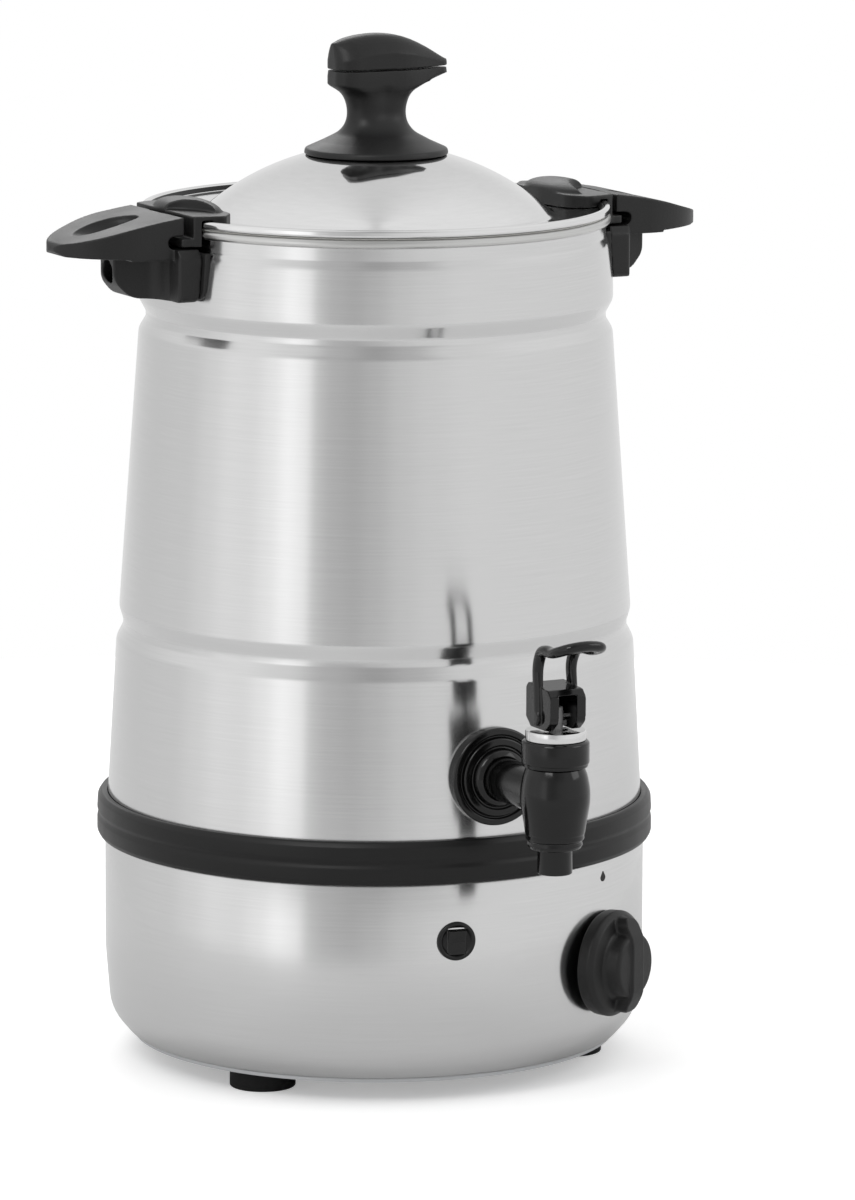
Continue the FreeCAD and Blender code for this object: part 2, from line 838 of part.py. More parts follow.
def heater_element():
    """Tube heater bent to an open ring, with two cold pins that point down."""
    body = new_body("heater_element")
    section = new_sketch(body, "XZ_Plane")
    draw_circle(section, size.heater_coil_radius, coil_centre, size.heater_tube_radius)
    sweep = 360 - size.heater_gap_angle
    turn(section, sweep, both_ways=True)
    pins = new_sketch(body, "XY_Plane", coil_centre)
    for side in (-1, 1):
        draw_circle(pins, size.heater_coil_radius * cosine(sweep / 2),
                    size.heater_coil_radius * sine(sweep / 2) * side, size.heater_tube_radius * 0.75)
    pad(pins, size.heater_pin_length, reverse=True)
    return body


def heater_clamp():
    """Steel bar that presses the heater tube against its plate."""
    body = new_body("heater_clamp")
    outline = new_sketch(body, "XY_Plane", clamp_top)
    half_length = size.clamp_length / 2
    half_width = size.clamp_width / 2
    draw(outline, [
        (-half_length, -half_width),
        (half_length, -half_width, size.clamp_width * 0.6),
        (half_length, half_width),
        (-half_length, half_width, size.clamp_width * 0.6),
    ])
    draw_circle(outline, 0, 0, size.clamp_stud_radius + size.snug)
    pad(outline, size.clamp_thickness, reverse=True)
    return body


def clamp_stud():
    """Stud welded to the heater plate, with the flange nut that pulls the clamp up."""
    nut_top = clamp_top - size.clamp_thickness
    nut_bottom = nut_top - size.clamp_nut_height
    stud = doc.addObject("PartDesign::Body", "clamp_stud_rod")
    outline = new_sketch(stud, "XZ_Plane")
    draw(outline, [
        (0, heater_bottom),
        (size.clamp_stud_radius, heater_bottom),
        (size.clamp_stud_radius, nut_bottom - size.clamp_stud_end),
        (0, nut_bottom - size.clamp_stud_end),
    ][::-1])
    turn(outline)
    nut = doc.addObject("PartDesign::Body", "clamp_stud_nut")
    flats = new_sketch(nut, "XY_Plane", nut_top)
    draw(flats, polygon(size.clamp_nut_flats, 6))
    draw_circle(flats, 0, 0, size.clamp_stud_radius + size.snug)
    pad(flats, size.clamp_nut_height, reverse=True)
    return grouped("clamp_stud", [stud, nut])


def thermal_cutout():
    """Round safety cut-out on the heater plate, with two flat tabs."""
    body = hanging_disc("thermal_cutout", size.cutout_radius, heater_bottom, size.cutout_height,
                        [(0, size.cutout_place)])
    tabs = new_sketch(body, "XY_Plane", heater_bottom - size.cutout_height)
    half_width = size.cutout_tab_width / 2
    half_thick = size.cutout_tab_thickness / 2
    for side in (-1, 1):
        middle = size.cutout_radius * 0.5 * side
        draw(tabs, rectangle(middle - half_thick, size.cutout_place - half_width,
                             middle + half_thick, size.cutout_place + half_width))
    pad(tabs, size.cutout_tab_length, reverse=True)
    return body


def terminal_block():
    """Terminal block on the base plate, with three screw wells."""
    body = new_body("terminal_block")
    outline = new_sketch(body, "XY_Plane", plate_top)
    half_length = size.terminal_length / 2
    place_along = size.terminal_place
    draw(outline, rectangle(-half_length, place_along, half_length, place_along + size.terminal_width))
    pad(outline, size.terminal_height)
    wells = new_sketch(body, "XY_Plane", plate_top + size.terminal_height)
    for index in (-1, 0, 1):
        draw_circle(wells, size.terminal_length * index * 0.3, place_along + size.terminal_width / 2,
                    size.terminal_width * 0.2)
    pocket(wells, size.terminal_height * 0.6)
    return body


def cable_gland():
    """Threaded gland in the rear wall, held by a nut on the inside."""
    inner_wall = size.base_radius - size.wall
    body = turned_part("cable_gland", [
        (size.gland_bore_radius, inner_wall - size.gland_thread_length),
        (size.gland_thread_radius, inner_wall - size.gland_thread_length),
        (size.gland_thread_radius, size.base_radius),
        (size.gland_flange_radius, size.base_radius),
        (size.gland_flange_radius, size.base_radius + size.gland_flange_thickness - size.gland_bevel),
        (size.gland_flange_radius - size.gland_bevel, size.base_radius + size.gland_flange_thickness),
        (size.gland_bore_radius, size.base_radius + size.gland_flange_thickness),
    ])
    place(body, (0, 0, size.gland_height), TOWARDS_REAR)
    nut = new_body("gland_nut")
    flats = new_sketch(nut, "XY_Plane", inner_wall - size.gland_nut_inset)
    draw(flats, polygon(size.gland_flange_radius * 1.8, 6))
    draw_circle(flats, 0, 0, size.gland_thread_radius + size.snug)
    pad(flats, size.gland_flange_thickness, reverse=True)
    place(nut, (0, 0, size.gland_height), TOWARDS_REAR)


# Controls in the base wall. Each is drawn about the radial line it sits on.

def facing(angle):
    """Turn a piece drawn about Z so that it points out through the wall at this angle from the tap."""
    return Rotation(Vector(0, 0, 1), angle.value) * TOWARDS_FRONT


def thermostat():
    """Thermostat with a threaded bush through the wall."""
    body = new_body("thermostat")
    case = new_sketch(body, "XY_Plane", size.thermostat_front)
    half = size.thermostat_length / 2
    draw(case, rectangle(-half, -half * 0.8, half, half * 0.8))
    pad(case, size.thermostat_depth, reverse=True)
    bush = new_sketch(body, "XY_Plane", size.thermostat_front)
    draw_circle(bush, 0, 0, size.bush_radius)
    pad(bush, bush_end - size.thermostat_front)
    bore = new_sketch(body, "XY_Plane", bush_end)
    draw_circle(bore, 0, 0, size.spindle_radius + size.running / 6)
    pocket(bore, bush_end - size.thermostat_front + size.spindle_seat)
    place(body, (0, 0, size.knob_height), facing(size.knob_angle))
    nut = new_body("thermostat_nut")
    flats = new_sketch(nut, "XY_Plane", size.base_radius)
    draw(flats, polygon(size.bush_radius * 2.8, 6))
    draw_circle(flats, 0, 0, size.bush_radius + size.snug)
    pad(flats, size.bush_nut_thickness)
    place(nut, (0, 0, size.knob_height), facing(size.knob_angle))


def thermostat_spindle():
    """Spindle that turns in the bush and carries the dial knob."""
    body = turned_part("thermostat_spindle", [
        (0, size.thermostat_front - size.spindle_seat + size.running),
        (size.spindle_radius, size.thermostat_front - size.spindle_seat + size.running),
        (size.spindle_radius, dial_back + size.dial_depth - size.dial_cap),
        (0, dial_back + size.dial_depth - size.dial_cap),
    ])
    place(body, (0, 0, size.knob_height), facing(size.knob_angle))


def dial_knob():
    """Dial knob with a skirt, a raised grip bar and a hollow back."""
    front = dial_back + size.dial_depth
    skirt = dial_back + size.dial_depth * 0.35
    bevel = size.dial_bevel
    bore_radius = size.spindle_radius + size.snug / 2
    hollow = dial_back + size.bush_nut_thickness + 2
    body = turned_part("dial_knob", [
        (bore_radius, hollow),
        (size.dial_radius * 0.5, hollow),
        (size.dial_radius * 0.5, dial_back),
        (size.dial_radius, dial_back),
        (size.dial_radius, skirt, bevel * 2),
        (size.dial_radius - bevel, skirt + bevel),
        (size.dial_radius * 0.62, skirt + bevel * 2),
        (size.dial_radius * 0.62, front - size.dial_cap, size.dial_crown),
        (0, front - size.dial_cap * 0.75),
        (0, front - size.dial_cap),
        (bore_radius, front - size.dial_cap),
    ])
    bar = new_sketch(body, "XY_Plane", skirt)
    half_width = size.dial_radius * 0.2
    draw(bar, [
        (-half_width, bevel - size.dial_radius, half_width * 1.4),
        (half_width, bevel - size.dial_radius),
        (half_width, size.dial_radius - bevel, half_width * 1.4),
        (-half_width, size.dial_radius - bevel),
    ])
    pad(bar, front - skirt)
    bore = new_sketch(body, "XY_Plane", dial_back)
    draw_circle(bore, 0, 0, bore_radius)
    pocket(bore, size.dial_depth - size.dial_cap, reverse=True)
    place(body, (0, 0, size.knob_height), facing(size.knob_angle))


def power_switch():
    """Round switch body with a bezel outside the wall and a well for the rocker."""
    bezel_front = size.base_radius + size.bezel_lip
    body = turned_part("switch_frame", [
        (0, size.base_radius - size.switch_depth),
        (size.switch_body_radius, size.base_radius - size.switch_depth),
        (size.switch_body_radius, size.base_radius),
        (size.bezel_radius, size.base_radius),
        (size.bezel_radius, bezel_front - 0.6, 0.8),
        (size.bezel_radius - 0.6, bezel_front),
        (0, bezel_front),
    ])
    half_width = size.rocker_width / 2 + size.running
    half_length = size.rocker_length / 2 + size.running
    well = new_sketch(body, "XY_Plane", bezel_front)
    draw(well, rectangle(-half_width, -half_length, half_width, half_length))
    pocket(well, bezel_front - rocker_pivot + half_length + 0.4)
    pivot = new_sketch(body, "YZ_Plane")
    draw_circle(pivot, 0, rocker_pivot, size.rocker_pin_radius + size.running / 3)
    pocket(pivot, half_width * 2 + size.rocker_pin_length * 2, both_ways=True)
    place(body, (0, 0, size.switch_height), facing(size.switch_angle))


def switch_rocker():
    """Rocker that tips about its two side pins; it is drawn pressed at its lower end."""
    body = new_body("switch_rocker")
    half_length = size.rocker_length / 2
    crown = size.base_radius + size.bezel_lip - rocker_pivot
    outline = new_sketch(body, "YZ_Plane")
    draw(outline, [
        (-half_length, 0, half_length * 1.001),
        (0, -half_length, half_length * 1.001),
        (half_length, 0),
        (half_length - 0.3, crown + 0.4),
        (0, crown - 0.5),
        (0.3 - half_length, crown + 0.4),
    ])
    pad(outline, size.rocker_width, both_ways=True)
    pin = new_sketch(body, "YZ_Plane")
    draw_circle(pin, 0, 0, size.rocker_pin_radius)
    pad(pin, size.rocker_width + size.rocker_pin_length * 2, both_ways=True)
    tilt = Rotation(Vector(1, 0, 0), size.rocker_tilt.value)
    angle = math.radians(size.switch_angle.value)
    seat = Vector(rocker_pivot.value * math.sin(angle), -rocker_pivot.value * math.cos(angle),
                  size.switch_height.value)
    body.Placement = Placement(seat, facing(size.switch_angle) * tilt)
    body.setExpression("Placement.Base.x", (rocker_pivot * sine(size.switch_angle)).formula)
    body.setExpression("Placement.Base.y", (-rocker_pivot * cosine(size.switch_angle)).formula)
    body.setExpression("Placement.Base.z", size.switch_height.formula)


# Lid with its gasket, locking ears and knob

def dome_height(radius):
    """Height of the top of the dome at this radius."""
    return size.lid_top - dome_curve + root(dome_curve * dome_curve - radius * radius)


def lid():
    """Domed steel lid with a nearly flat brim and a rolled lip."""
    under = lip_bottom
    body = turned_part("lid", [
        (size.knob_screw_radius + size.snug, dome_height(size.knob_screw_radius + size.snug), -dome_curve),
        (size.dome_radius, size.dome_bottom),
        (size.brim_radius, brim_top, 1.6),
        (size.brim_radius + 0.9, brim_top + 1.2),
        (size.brim_radius + 1.0, size.lip_top - 0.9, -0.9),
        (size.brim_radius + 1.9, size.lip_top),
        (size.lip_radius - size.lip_curve, size.lip_top, -size.lip_curve),
        (size.lip_radius, size.lip_top - size.lip_curve),
        (size.lip_radius, under + size.lip_curve / 2, -(size.lip_curve / 2)),
        (size.lip_radius - size.lip_curve / 2, under),
        (size.brim_radius + 0.4, under),
        (size.brim_radius - 0.6, brim_top - size.wall),
        (size.dome_radius - 0.3, size.dome_bottom - size.wall, dome_curve - size.wall),
        (size.knob_screw_radius + size.snug,
         dome_height(size.knob_screw_radius + size.snug) - size.wall),
    ])
    rivet_holes(body)


def rivet_holes(body):
    """Holes for the four ear rivets."""
    holes = new_sketch(body, "XY_Plane", rivet_top)
    for side in (-1, 1):
        for along in (-1, 1):
            draw_circle(holes, size.rivet_place * side, size.rivet_spread * along, size.rivet_radius + size.snug)
    pocket(holes, size.rivet_depth * 2)


def lid_gasket():
    """Silicone ring that lies on the rim of the tank, with a skirt inside its neck."""
    inner = tank_bore - size.gasket_width
    land = size.neck_radius - size.wall * 2
    top = rim_top + size.gasket_thickness
    lifted = rim_top + size.hairline
    turned_part("lid_gasket", [
        (size.rim_radius - 3.2, rim_top),
        (size.rim_radius - 1.6, rim_top),
        (size.rim_radius - 1.6, top),
        (land - 0.2, top),
        (inner + 1.0, rim_top - 0.15),
        (inner, rim_top - 1.2),
        (inner, rim_top - size.gasket_skirt),
        (inner + 0.8, rim_top - size.gasket_skirt - 0.6),
        (tank_bore - 0.5, rim_top - size.gasket_skirt),
        (tank_bore - 0.2, rim_top - 1.6),
        (land - 0.6, lifted),
        (size.rim_radius - 3.4, lifted),
    ])


def lid_ear(label, rotation):
    """Locking ear: it lies on the brim, steps over the lip and hooks a tongue under the handle."""
    body = new_body(label)
    plan = new_sketch(body, "XY_Plane", size.deck_height)
    inner_width = size.ear_half_width + size.ear_flare
    inner_place = size.ear_face - size.ear_depth * 0.58
    draw(plan, [
        (size.ear_face, -size.ear_half_width),
        (size.ear_face, size.ear_half_width),
        (inner_place, inner_width, 4.0),
        (inner_place - 3.4, inner_width - 3.0),
        (size.ear_reach, size.ear_half_width * 0.4, size.ear_half_width * 1.4),
        (size.ear_reach, size.ear_half_width * -0.4),
        (inner_place - 3.4, 3.0 - inner_width, 4.0),
        (inner_place, -inner_width),
    ])
    pad(plan, size.deck_height - size.tongue_bottom, reverse=True)
    tongue = new_sketch(body, "XY_Plane", size.tongue_bottom)
    half = size.ear_half_width
    draw(tongue, rectangle(size.ear_face - 8, -half, size.ear_face + size.tongue_length, half))
    pad(tongue, size.tongue_top - size.tongue_bottom)
    bump = body.newObject("PartDesign::AdditiveEllipsoid", f"{label}_bump")
    set_length(bump, "Radius1", size.ear_bump_height)
    set_length(bump, "Radius2", size.ear_bump_width)
    set_length(bump, "Radius3", size.ear_bump_length)
    middle = size.ear_reach + size.ear_bump_width - 1
    bump.Placement = Placement(Vector(middle.value, 0, size.deck_height.value), NO_TURN)
    bump.setExpression("Placement.Base.x", middle.formula)
    bump.setExpression("Placement.Base.z", size.deck_height.formula)
    doc.recompute()
    clear = size.rim_radius + 0.6
    under = size.tongue_bottom - 5
    over_lip = size.lip_top + 0.2
    groove(body, [
        (0, under),
        (clear, under),
        (clear, over_lip),
        (size.brim_radius, over_lip),
        (size.brim_radius, brim_top + size.hairline),
        (size.dome_radius, size.dome_bottom + size.hairline),
        (0, size.dome_bottom + size.hairline),
    ])
    rivet_holes(body)
    place(body, (0, 0, 0), rotation)


def ear_rivets():
    """Two rivets through the brim under each ear."""
    pieces = []
    for index, (side, along) in enumerate(((-1, -1), (-1, 1), (1, -1), (1, 1)), start=1):
        piece = doc.addObject("PartDesign::Body", f"ear_rivets_{index}")
        outline = new_sketch(piece, "XZ_Plane")
        draw(outline, [
            (0, rivet_seat - size.rivet_radius),
            (size.rivet_head - 0.2, rivet_seat - size.rivet_radius * 0.75),
            (size.rivet_head, rivet_seat - size.snug * 2),
            (size.rivet_radius, rivet_seat - size.snug * 2),
            (size.rivet_radius, rivet_top - size.snug),
            (0, rivet_top - size.snug),
        ])
        turn(outline)
        place(piece, (size.rivet_place * side, size.rivet_spread * along, 0), NO_TURN)
        pieces.append(piece)
    return grouped("ear_rivets", pieces)


def knob_stem():
    """Waisted stem with a broad flange; its flared head is trimmed to the outline of the grip."""
    bore = size.knob_screw_radius + size.snug
    edge = size.flange_radius
    tip = grip_front - 2
    body = turned_part("knob_stem", [
        (bore, dome_height(bore) + size.hairline),
        (bore, size.waist_height),
        (0, size.waist_height + 1),
        (0, size.grip_split),
        (tip + 3, size.grip_split),
        (tip + 3, size.grip_split - 0.8),
        (size.waist_radius + size.stem_flare, size.grip_bottom + 0.6, size.stem_flare_curve),
        (size.waist_radius + 3.6, size.grip_bottom - 4.2, size.stem_hollow_curve),
        (size.waist_radius, size.waist_height, size.flange_curve),
        (size.waist_radius + 4.6, size.waist_height - 9.2),
        (edge - 4.8, size.flange_edge + 6.0, -size.flange_curve),
        (edge, size.flange_edge + 0.4, -0.8),
        (edge - 0.7, size.flange_edge - 0.5),
        (edge - 1.2, dome_height(edge - 1.2) + size.hairline, dome_curve),
    ])
    trim_to_grip(body, size.grip_bottom - 7.5, size.grip_split)
    return body


def grip_outline():
    """Plan of the grip: a blunt end, straight flanks and a round nose."""
    half = size.grip_width / 2
    nose = size.grip_width * 0.54
    corner = size.grip_corner
    return [
        (-size.grip_blunt_end, half - corner, -corner),
        (corner - size.grip_blunt_end, half),
        (grip_front - nose, half, -nose),
        (grip_front, 0, -nose),
        (grip_front - nose, -half),
        (corner - size.grip_blunt_end, -half, -corner),
        (-size.grip_blunt_end, corner - half),
    ]


def trim_to_grip(body, low, high):
    """Cut away all that lies outside the plan of the grip between two heights."""
    plan = new_sketch(body, "XY_Plane", low)
    reach = size.flange_radius * 2
    draw(plan, rectangle(-reach, -reach, reach, reach))
    draw(plan, grip_outline())
    return pocket(plan, high - low + reach, reverse=True)


def knob_cap():
    """Domed cap of the grip: an arch carried along a longer curve, trimmed to the plan."""
    reach = size.grip_width / 2 + 0.5
    arch_curve = (reach * reach + size.grip_arch * size.grip_arch) / (size.grip_arch * 2)
    body = new_body("knob_cap")
    centre = size.grip_top - size.grip_ridge_curve
    section = new_sketch(body, "YZ_Plane")
    draw(section, [
        (-reach, size.grip_ridge_curve / 4),
        (reach, size.grip_ridge_curve / 4),
        (reach, size.grip_ridge_curve - size.grip_arch, arch_curve),
        (-reach, size.grip_ridge_curve - size.grip_arch),
    ])
    feature = body.newObject("PartDesign::Revolution", "knob_cap_turn")
    feature.Profile = section
    feature.ReferenceAxis = (section, ["H_Axis"])
    feature.Midplane = True
    set_length(feature, "Angle", size.grip_sweep)
    doc.recompute()
    place(body, (size.grip_ridge_place, 0, centre), NO_TURN)
    split = size.grip_split + size.grip_gap - centre
    below = new_sketch(body, "XY_Plane", split)
    far = size.grip_ridge_curve + 10
    draw(below, rectangle(-far, -far, far, far))
    pocket(below, far)
    plan = new_sketch(body, "XY_Plane", split)
    draw(plan, rectangle(-far, -far, far, far))
    draw(plan, [(corner[0] - size.grip_ridge_place,) + tuple(corner[1:]) for corner in grip_outline()])
    pocket(plan, far, reverse=True)
    return body


def knob_screw():
    """Screw and broad washer that hold the knob from inside the lid."""
    washer_top = dome_height(size.knob_washer_radius) - size.wall - size.hairline
    washer_bottom = washer_top - size.knob_washer_thickness
    head_bottom = washer_bottom - size.knob_screw_drive
    turned_part("knob_screw", [
        (0, head_bottom),
        (size.knob_screw_head - 0.4, head_bottom + 0.4),
        (size.knob_screw_head, washer_bottom),
        (size.knob_washer_radius, washer_bottom),
        (size.knob_washer_radius, washer_top),
        (size.knob_screw_radius, washer_top),
        (size.knob_screw_radius, size.waist_height - 2),
        (0, size.waist_height - 2),
    ])


# Handles

def wall_cone(height, clearance):
    """Radius of the casing's shoulder at this height, plus a clearance."""
    slope = (size.chest_radius - size.shoulder_radius) / (size.shoulder_top - size.upper_bead_top)
    return size.shoulder_radius + (size.shoulder_top - height) * slope + clearance


def handle(label, rotation):
    """Side handle: a leaf shaped grip above a hollow finger that takes the fixing screw."""
    body = new_body(label)
    face = handle_face
    slot_low = size.tongue_bottom - 0.9
    slot_high = size.tongue_top + 1.0
    slot_half = (slot_high - slot_low) / 2
    slot_end = size.ear_face + size.tongue_length + size.swing_clearance + 1.0
    inner = size.shoulder_radius - size.handle_root_width / 2
    profile = new_sketch(body, "XZ_Plane")
    draw(profile, [
        (face, size.deck_height, -size.handle_crown),
        (size.handle_reach - 3.4, size.handle_tip_height + 3.2, -4.2),
        (size.handle_reach, size.handle_tip_height - 0.4, -3.6),
        (size.handle_reach - 3.6, size.handle_bottom + 1.2, -size.handle_belly),
        (size.finger_reach, size.handle_bottom),
        (size.finger_reach, size.handle_screw_height + 1.5, -size.finger_slope_curve),
        (size.finger_reach - size.finger_slope, size.flange_bottom),
        (inner, size.flange_bottom),
        (inner, slot_low),
        (slot_end - slot_half, slot_low, slot_half),
        (slot_end, slot_low + slot_half, slot_half),
        (slot_end - slot_half, slot_high),
        (face, slot_high),
    ])
    pad(profile, size.handle_root_width * 3, both_ways=True)
    leaf = new_sketch(body, "XY_Plane", size.deck_height + 5)
    reach = size.handle_reach * 1.2
    root_half = size.handle_root_width
    face_half = root_half - 3.4
    tip_start = size.handle_reach - size.leaf_tip_length
    draw(leaf, rectangle(-reach, -reach, reach, reach))
    draw(leaf, [
        (inner - 5, root_half),
        (face - 6, root_half),
        (face, face_half, -size.leaf_curve),
        (tip_start, face_half * 0.56, -size.leaf_tip_curve),
        (size.handle_reach, 0, -size.leaf_tip_curve),
        (tip_start, face_half * -0.56, -size.leaf_curve),
        (face, -face_half),
        (face - 6, -root_half),
        (inner - 5, -root_half),
    ])
    pocket(leaf, size.deck_height + 5 - size.handle_bottom)
    lower = new_sketch(body, "XY_Plane", size.handle_bottom + size.hairline / 2)
    finger = size.finger_half_width
    draw(lower, rectangle(-reach, -reach, reach, reach))
    draw(lower, [
        (inner - 5, root_half),
        (face + 1.5, root_half - 1.4, size.finger_root_curve),
        (face + size.finger_root, finger * 1.9, size.finger_curve),
        (size.finger_reach - 3, finger, -3.4),
        (size.finger_reach, finger - 3),
        (size.finger_reach, 3 - finger, -3.4),
        (size.finger_reach - 3, -finger, size.finger_curve),
        (face + size.finger_root, finger * -1.9, size.finger_root_curve),
        (face + 1.5, 1.4 - root_half),
        (inner - 5, -root_half),
    ])
    pocket(lower, size.handle_bottom - size.flange_bottom + 5)
    access = new_sketch(body, "YZ_Plane", head_seat)
    draw_circle(access, 0, size.handle_screw_height, size.handle_screw_head + 0.5)
    pocket(access, reverse=True)
    bore = new_sketch(body, "YZ_Plane", head_seat)
    draw_circle(bore, 0, size.handle_screw_height, size.handle_screw_radius + size.snug)
    pocket(bore)
    gap = size.plate_thickness + size.plate_gap
    groove(body, [
        (0, size.flange_bottom - 5),
        (wall_cone(size.flange_bottom - 5, gap), size.flange_bottom - 5),
        (wall_cone(slot_low + 1, gap), slot_low + 1),
        (0, slot_low + 1),
    ])
    place(body, (0, 0, 0), rotation)


def handle_plate(label, rotation):
    """Curved plate between the handle and the wall."""
    body = new_body(label)
    low = size.flange_bottom - 0.6
    high = size.shoulder_top - 0.4
    section = new_sketch(body, "XZ_Plane")
    draw(section, [
        (wall_cone(low, size.snug), low),
        (wall_cone(low, size.plate_thickness), low),
        (wall_cone(high, size.plate_thickness), high),
        (wall_cone(high, size.snug), high),
    ])
    turn(section, size.plate_angle, both_ways=True)
    hole = new_sketch(body, "YZ_Plane")
    draw_circle(hole, 0, size.handle_screw_height, size.boss_radius + size.running)
    pocket(hole, reverse=True)
    place(body, (0, 0, 0), rotation)


def handle_bracket(label, rotation):
    """Threaded boss welded to the wall, on which the handle is screwed."""
    body = new_body(label)
    end = wall_cone(size.handle_screw_height, size.plate_thickness + size.plate_gap)
    disc = new_sketch(body, "YZ_Plane", end)
    draw_circle(disc, 0, size.handle_screw_height, size.boss_radius)
    draw_circle(disc, 0, size.handle_screw_height, size.handle_screw_radius + size.snug)
    pad(disc, 8.0, reverse=True)
    low = size.handle_screw_height - size.boss_radius - 3
    high = size.handle_screw_height + size.boss_radius + 3
    groove(body, [
        (0, low),
        (wall_cone(low, 0.02), low),
        (wall_cone(high, 0.02), high),
        (0, high),
    ])
    lean = new_sketch(body, "XZ_Plane")
    gap = size.plate_thickness + size.plate_gap
    draw(lean, [
        (wall_cone(low, gap), low),
        (wall_cone(low, gap) + 9, low),
        (wall_cone(low, gap) + 9, high),
        (wall_cone(high, gap), high),
    ])
    turn(lean, kind="PartDesign::Groove")
    place(body, (0, 0, 0), rotation)


def handle_screws():
    """Long screws through the fingers into the welded bosses."""
    pieces = []
    for index, rotation in enumerate((TOWARDS_RIGHT, TOWARDS_LEFT), start=1):
        seat = head_seat
        piece = doc.addObject("PartDesign::Body", f"handle_screws_{index}")
        outline = new_sketch(piece, "XZ_Plane")
        draw(outline, [
            (0, wall_cone(size.handle_screw_height, 0.6)),
            (size.handle_screw_radius, wall_cone(size.handle_screw_height, 0.6)),
            (size.handle_screw_radius, seat),
            (size.handle_screw_head, seat),
            (size.handle_screw_head, seat + 1.8, 4.0),
            (1.6, seat + 3.4),
            (1.0, seat + 1.4),
            (0, seat + 1.2),
        ])
        turn(outline)
        place(piece, (0, 0, size.handle_screw_height), rotation)
        pieces.append(piece)
    return grouped("handle_screws", pieces)


# Tap. The shank and its fittings are drawn about the line that points out through the front wall.

def on_tap_line(body):
    place(body, (0, 0, size.tap_height), TOWARDS_FRONT)


def tap_rose():
    """Stepped rose that covers the hole in the wall, with its back cut to the casing."""
    start = casing_at_tap - 3
    front = casing_at_tap + size.rose_depth
    ring = size.rose_radius
    body = turned_part("tap_rose", [
        (size.shank_radius + size.snug, start),
        (ring, start),
        (ring, front - 6.2, 1.0),
        (ring - 1.0, front - 5.2),
        (ring - 3.2, front - 5.2),
        (ring - 3.8, front - 6.0),
        (ring - 4.4, front - 6.0),
        (ring - 5.0, front - 4.2),
        (ring - 7.0, front - 3.8),
        (ring - 7.6, front - 4.6, -5.0),
        (size.shank_radius + 1.2, front),
        (size.shank_radius + size.snug, front),
    ])
    cutter = new_sketch(body, "XY_Plane")
    reach = ring + 3
    draw(cutter, [
        (0, -reach),
        (casing_radius(size.tap_height - reach) + 0.02, -reach),
        (casing_radius(size.tap_height + reach) + 0.02, reach),
        (0, reach),
    ])
    turn(cutter, kind="PartDesign::Groove")
    on_tap_line(body)


def tap_spacer():
    """Sleeve on the shank that keeps the tank and the casing apart."""
    body = turned_part("tap_spacer", [
        (size.shank_radius + size.snug, size.tank_radius),
        (size.shank_radius + size.spacer_wall, size.tank_radius),
        (size.shank_radius + size.spacer_wall, casing_at_tap - size.wall - 1.6),
        (size.shank_radius + size.snug, casing_at_tap - size.wall - 1.6),
    ])
    on_tap_line(body)


def tap_washer():
    """Silicone washer inside the tank, shaped to its wall."""
    inner = nut_face
    body = turned_part("tap_washer", [
        (size.shank_radius + size.snug, inner),
        (size.nut_flats / 2, inner),
        (size.nut_flats / 2, size.tank_radius),
        (size.shank_radius + size.snug, size.tank_radius),
    ])
    cutter = new_sketch(body, "XY_Plane")
    reach = size.nut_flats
    draw(cutter, rectangle(tank_bore - size.hairline, -reach, size.tank_radius + reach, reach))
    turn(cutter, kind="PartDesign::Groove")
    on_tap_line(body)


def tap_nut():
    """Hexagon nut that draws the tap up against the wall."""
    body = new_body("tap_nut")
    flats = new_sketch(body, "XY_Plane", nut_face)
    draw(flats, polygon(size.nut_flats, 6))
    draw_circle(flats, 0, 0, size.shank_radius + size.snug)
    pad(flats, size.nut_thickness, reverse=True)
    on_tap_line(body)


def tap_body():
    """Barrel with its spout, and the hollow shank that feeds it."""
    barrel = size.barrel_radius
    low = size.barrel_bottom
    spout = size.spout_radius
    thread_start = size.barrel_top - size.collar_height
    body = new_body("tap_body")
    outline = new_sketch(body, "XZ_Plane")
    draw(outline, [
        (0, size.spout_bottom),
        (spout + 0.3, size.spout_bottom),
        (spout, size.spout_bottom + 2.4),
        (spout, low),
        (barrel * 0.78, low, 1.1),
        (barrel * 0.8, low + 2.1),
        (barrel * 0.78, low + 2.4),
        (barrel * 0.84, low + 2.7, 1.3),
        (barrel * 0.84, low + 5.1),
        (barrel * 0.86, low + 5.5, size.barrel_swell),
        (barrel, size.tap_height + 6, size.barrel_shoulder),
        (barrel * 0.95, thread_start - 0.2),
        (size.thread_radius, thread_start - 0.2),
        (size.thread_radius, size.barrel_top),
        (0, size.barrel_top),
    ])
    turn(outline)
    shank = new_sketch(body, "XZ_Plane")
    draw_circle(shank, 0, size.tap_height, size.shank_radius)
    pad(shank, size.tap_reach - size.shank_end, reverse=True)
    groove(body, [
        (0, size.seat_height),
        (size.spout_bore_radius, size.seat_height),
        (size.chamber_radius, size.seat_height + 2.0),
        (size.chamber_radius, size.barrel_top + 1),
        (0, size.barrel_top + 1),
    ])
    groove(body, rectangle(0, size.spout_bottom - 1, size.spout_bore_radius, size.seat_height + 1))
    bore = new_sketch(body, "XZ_Plane")
    draw_circle(bore, 0, size.tap_height, size.shank_bore_radius)
    pocket(bore)
    place(body, (0, -size.tap_reach, 0), NO_TURN)


def turned_on_barrel(label, corners):
    body = turned_part(label, corners)
    place(body, (0, -size.tap_reach, 0), NO_TURN)
    return body


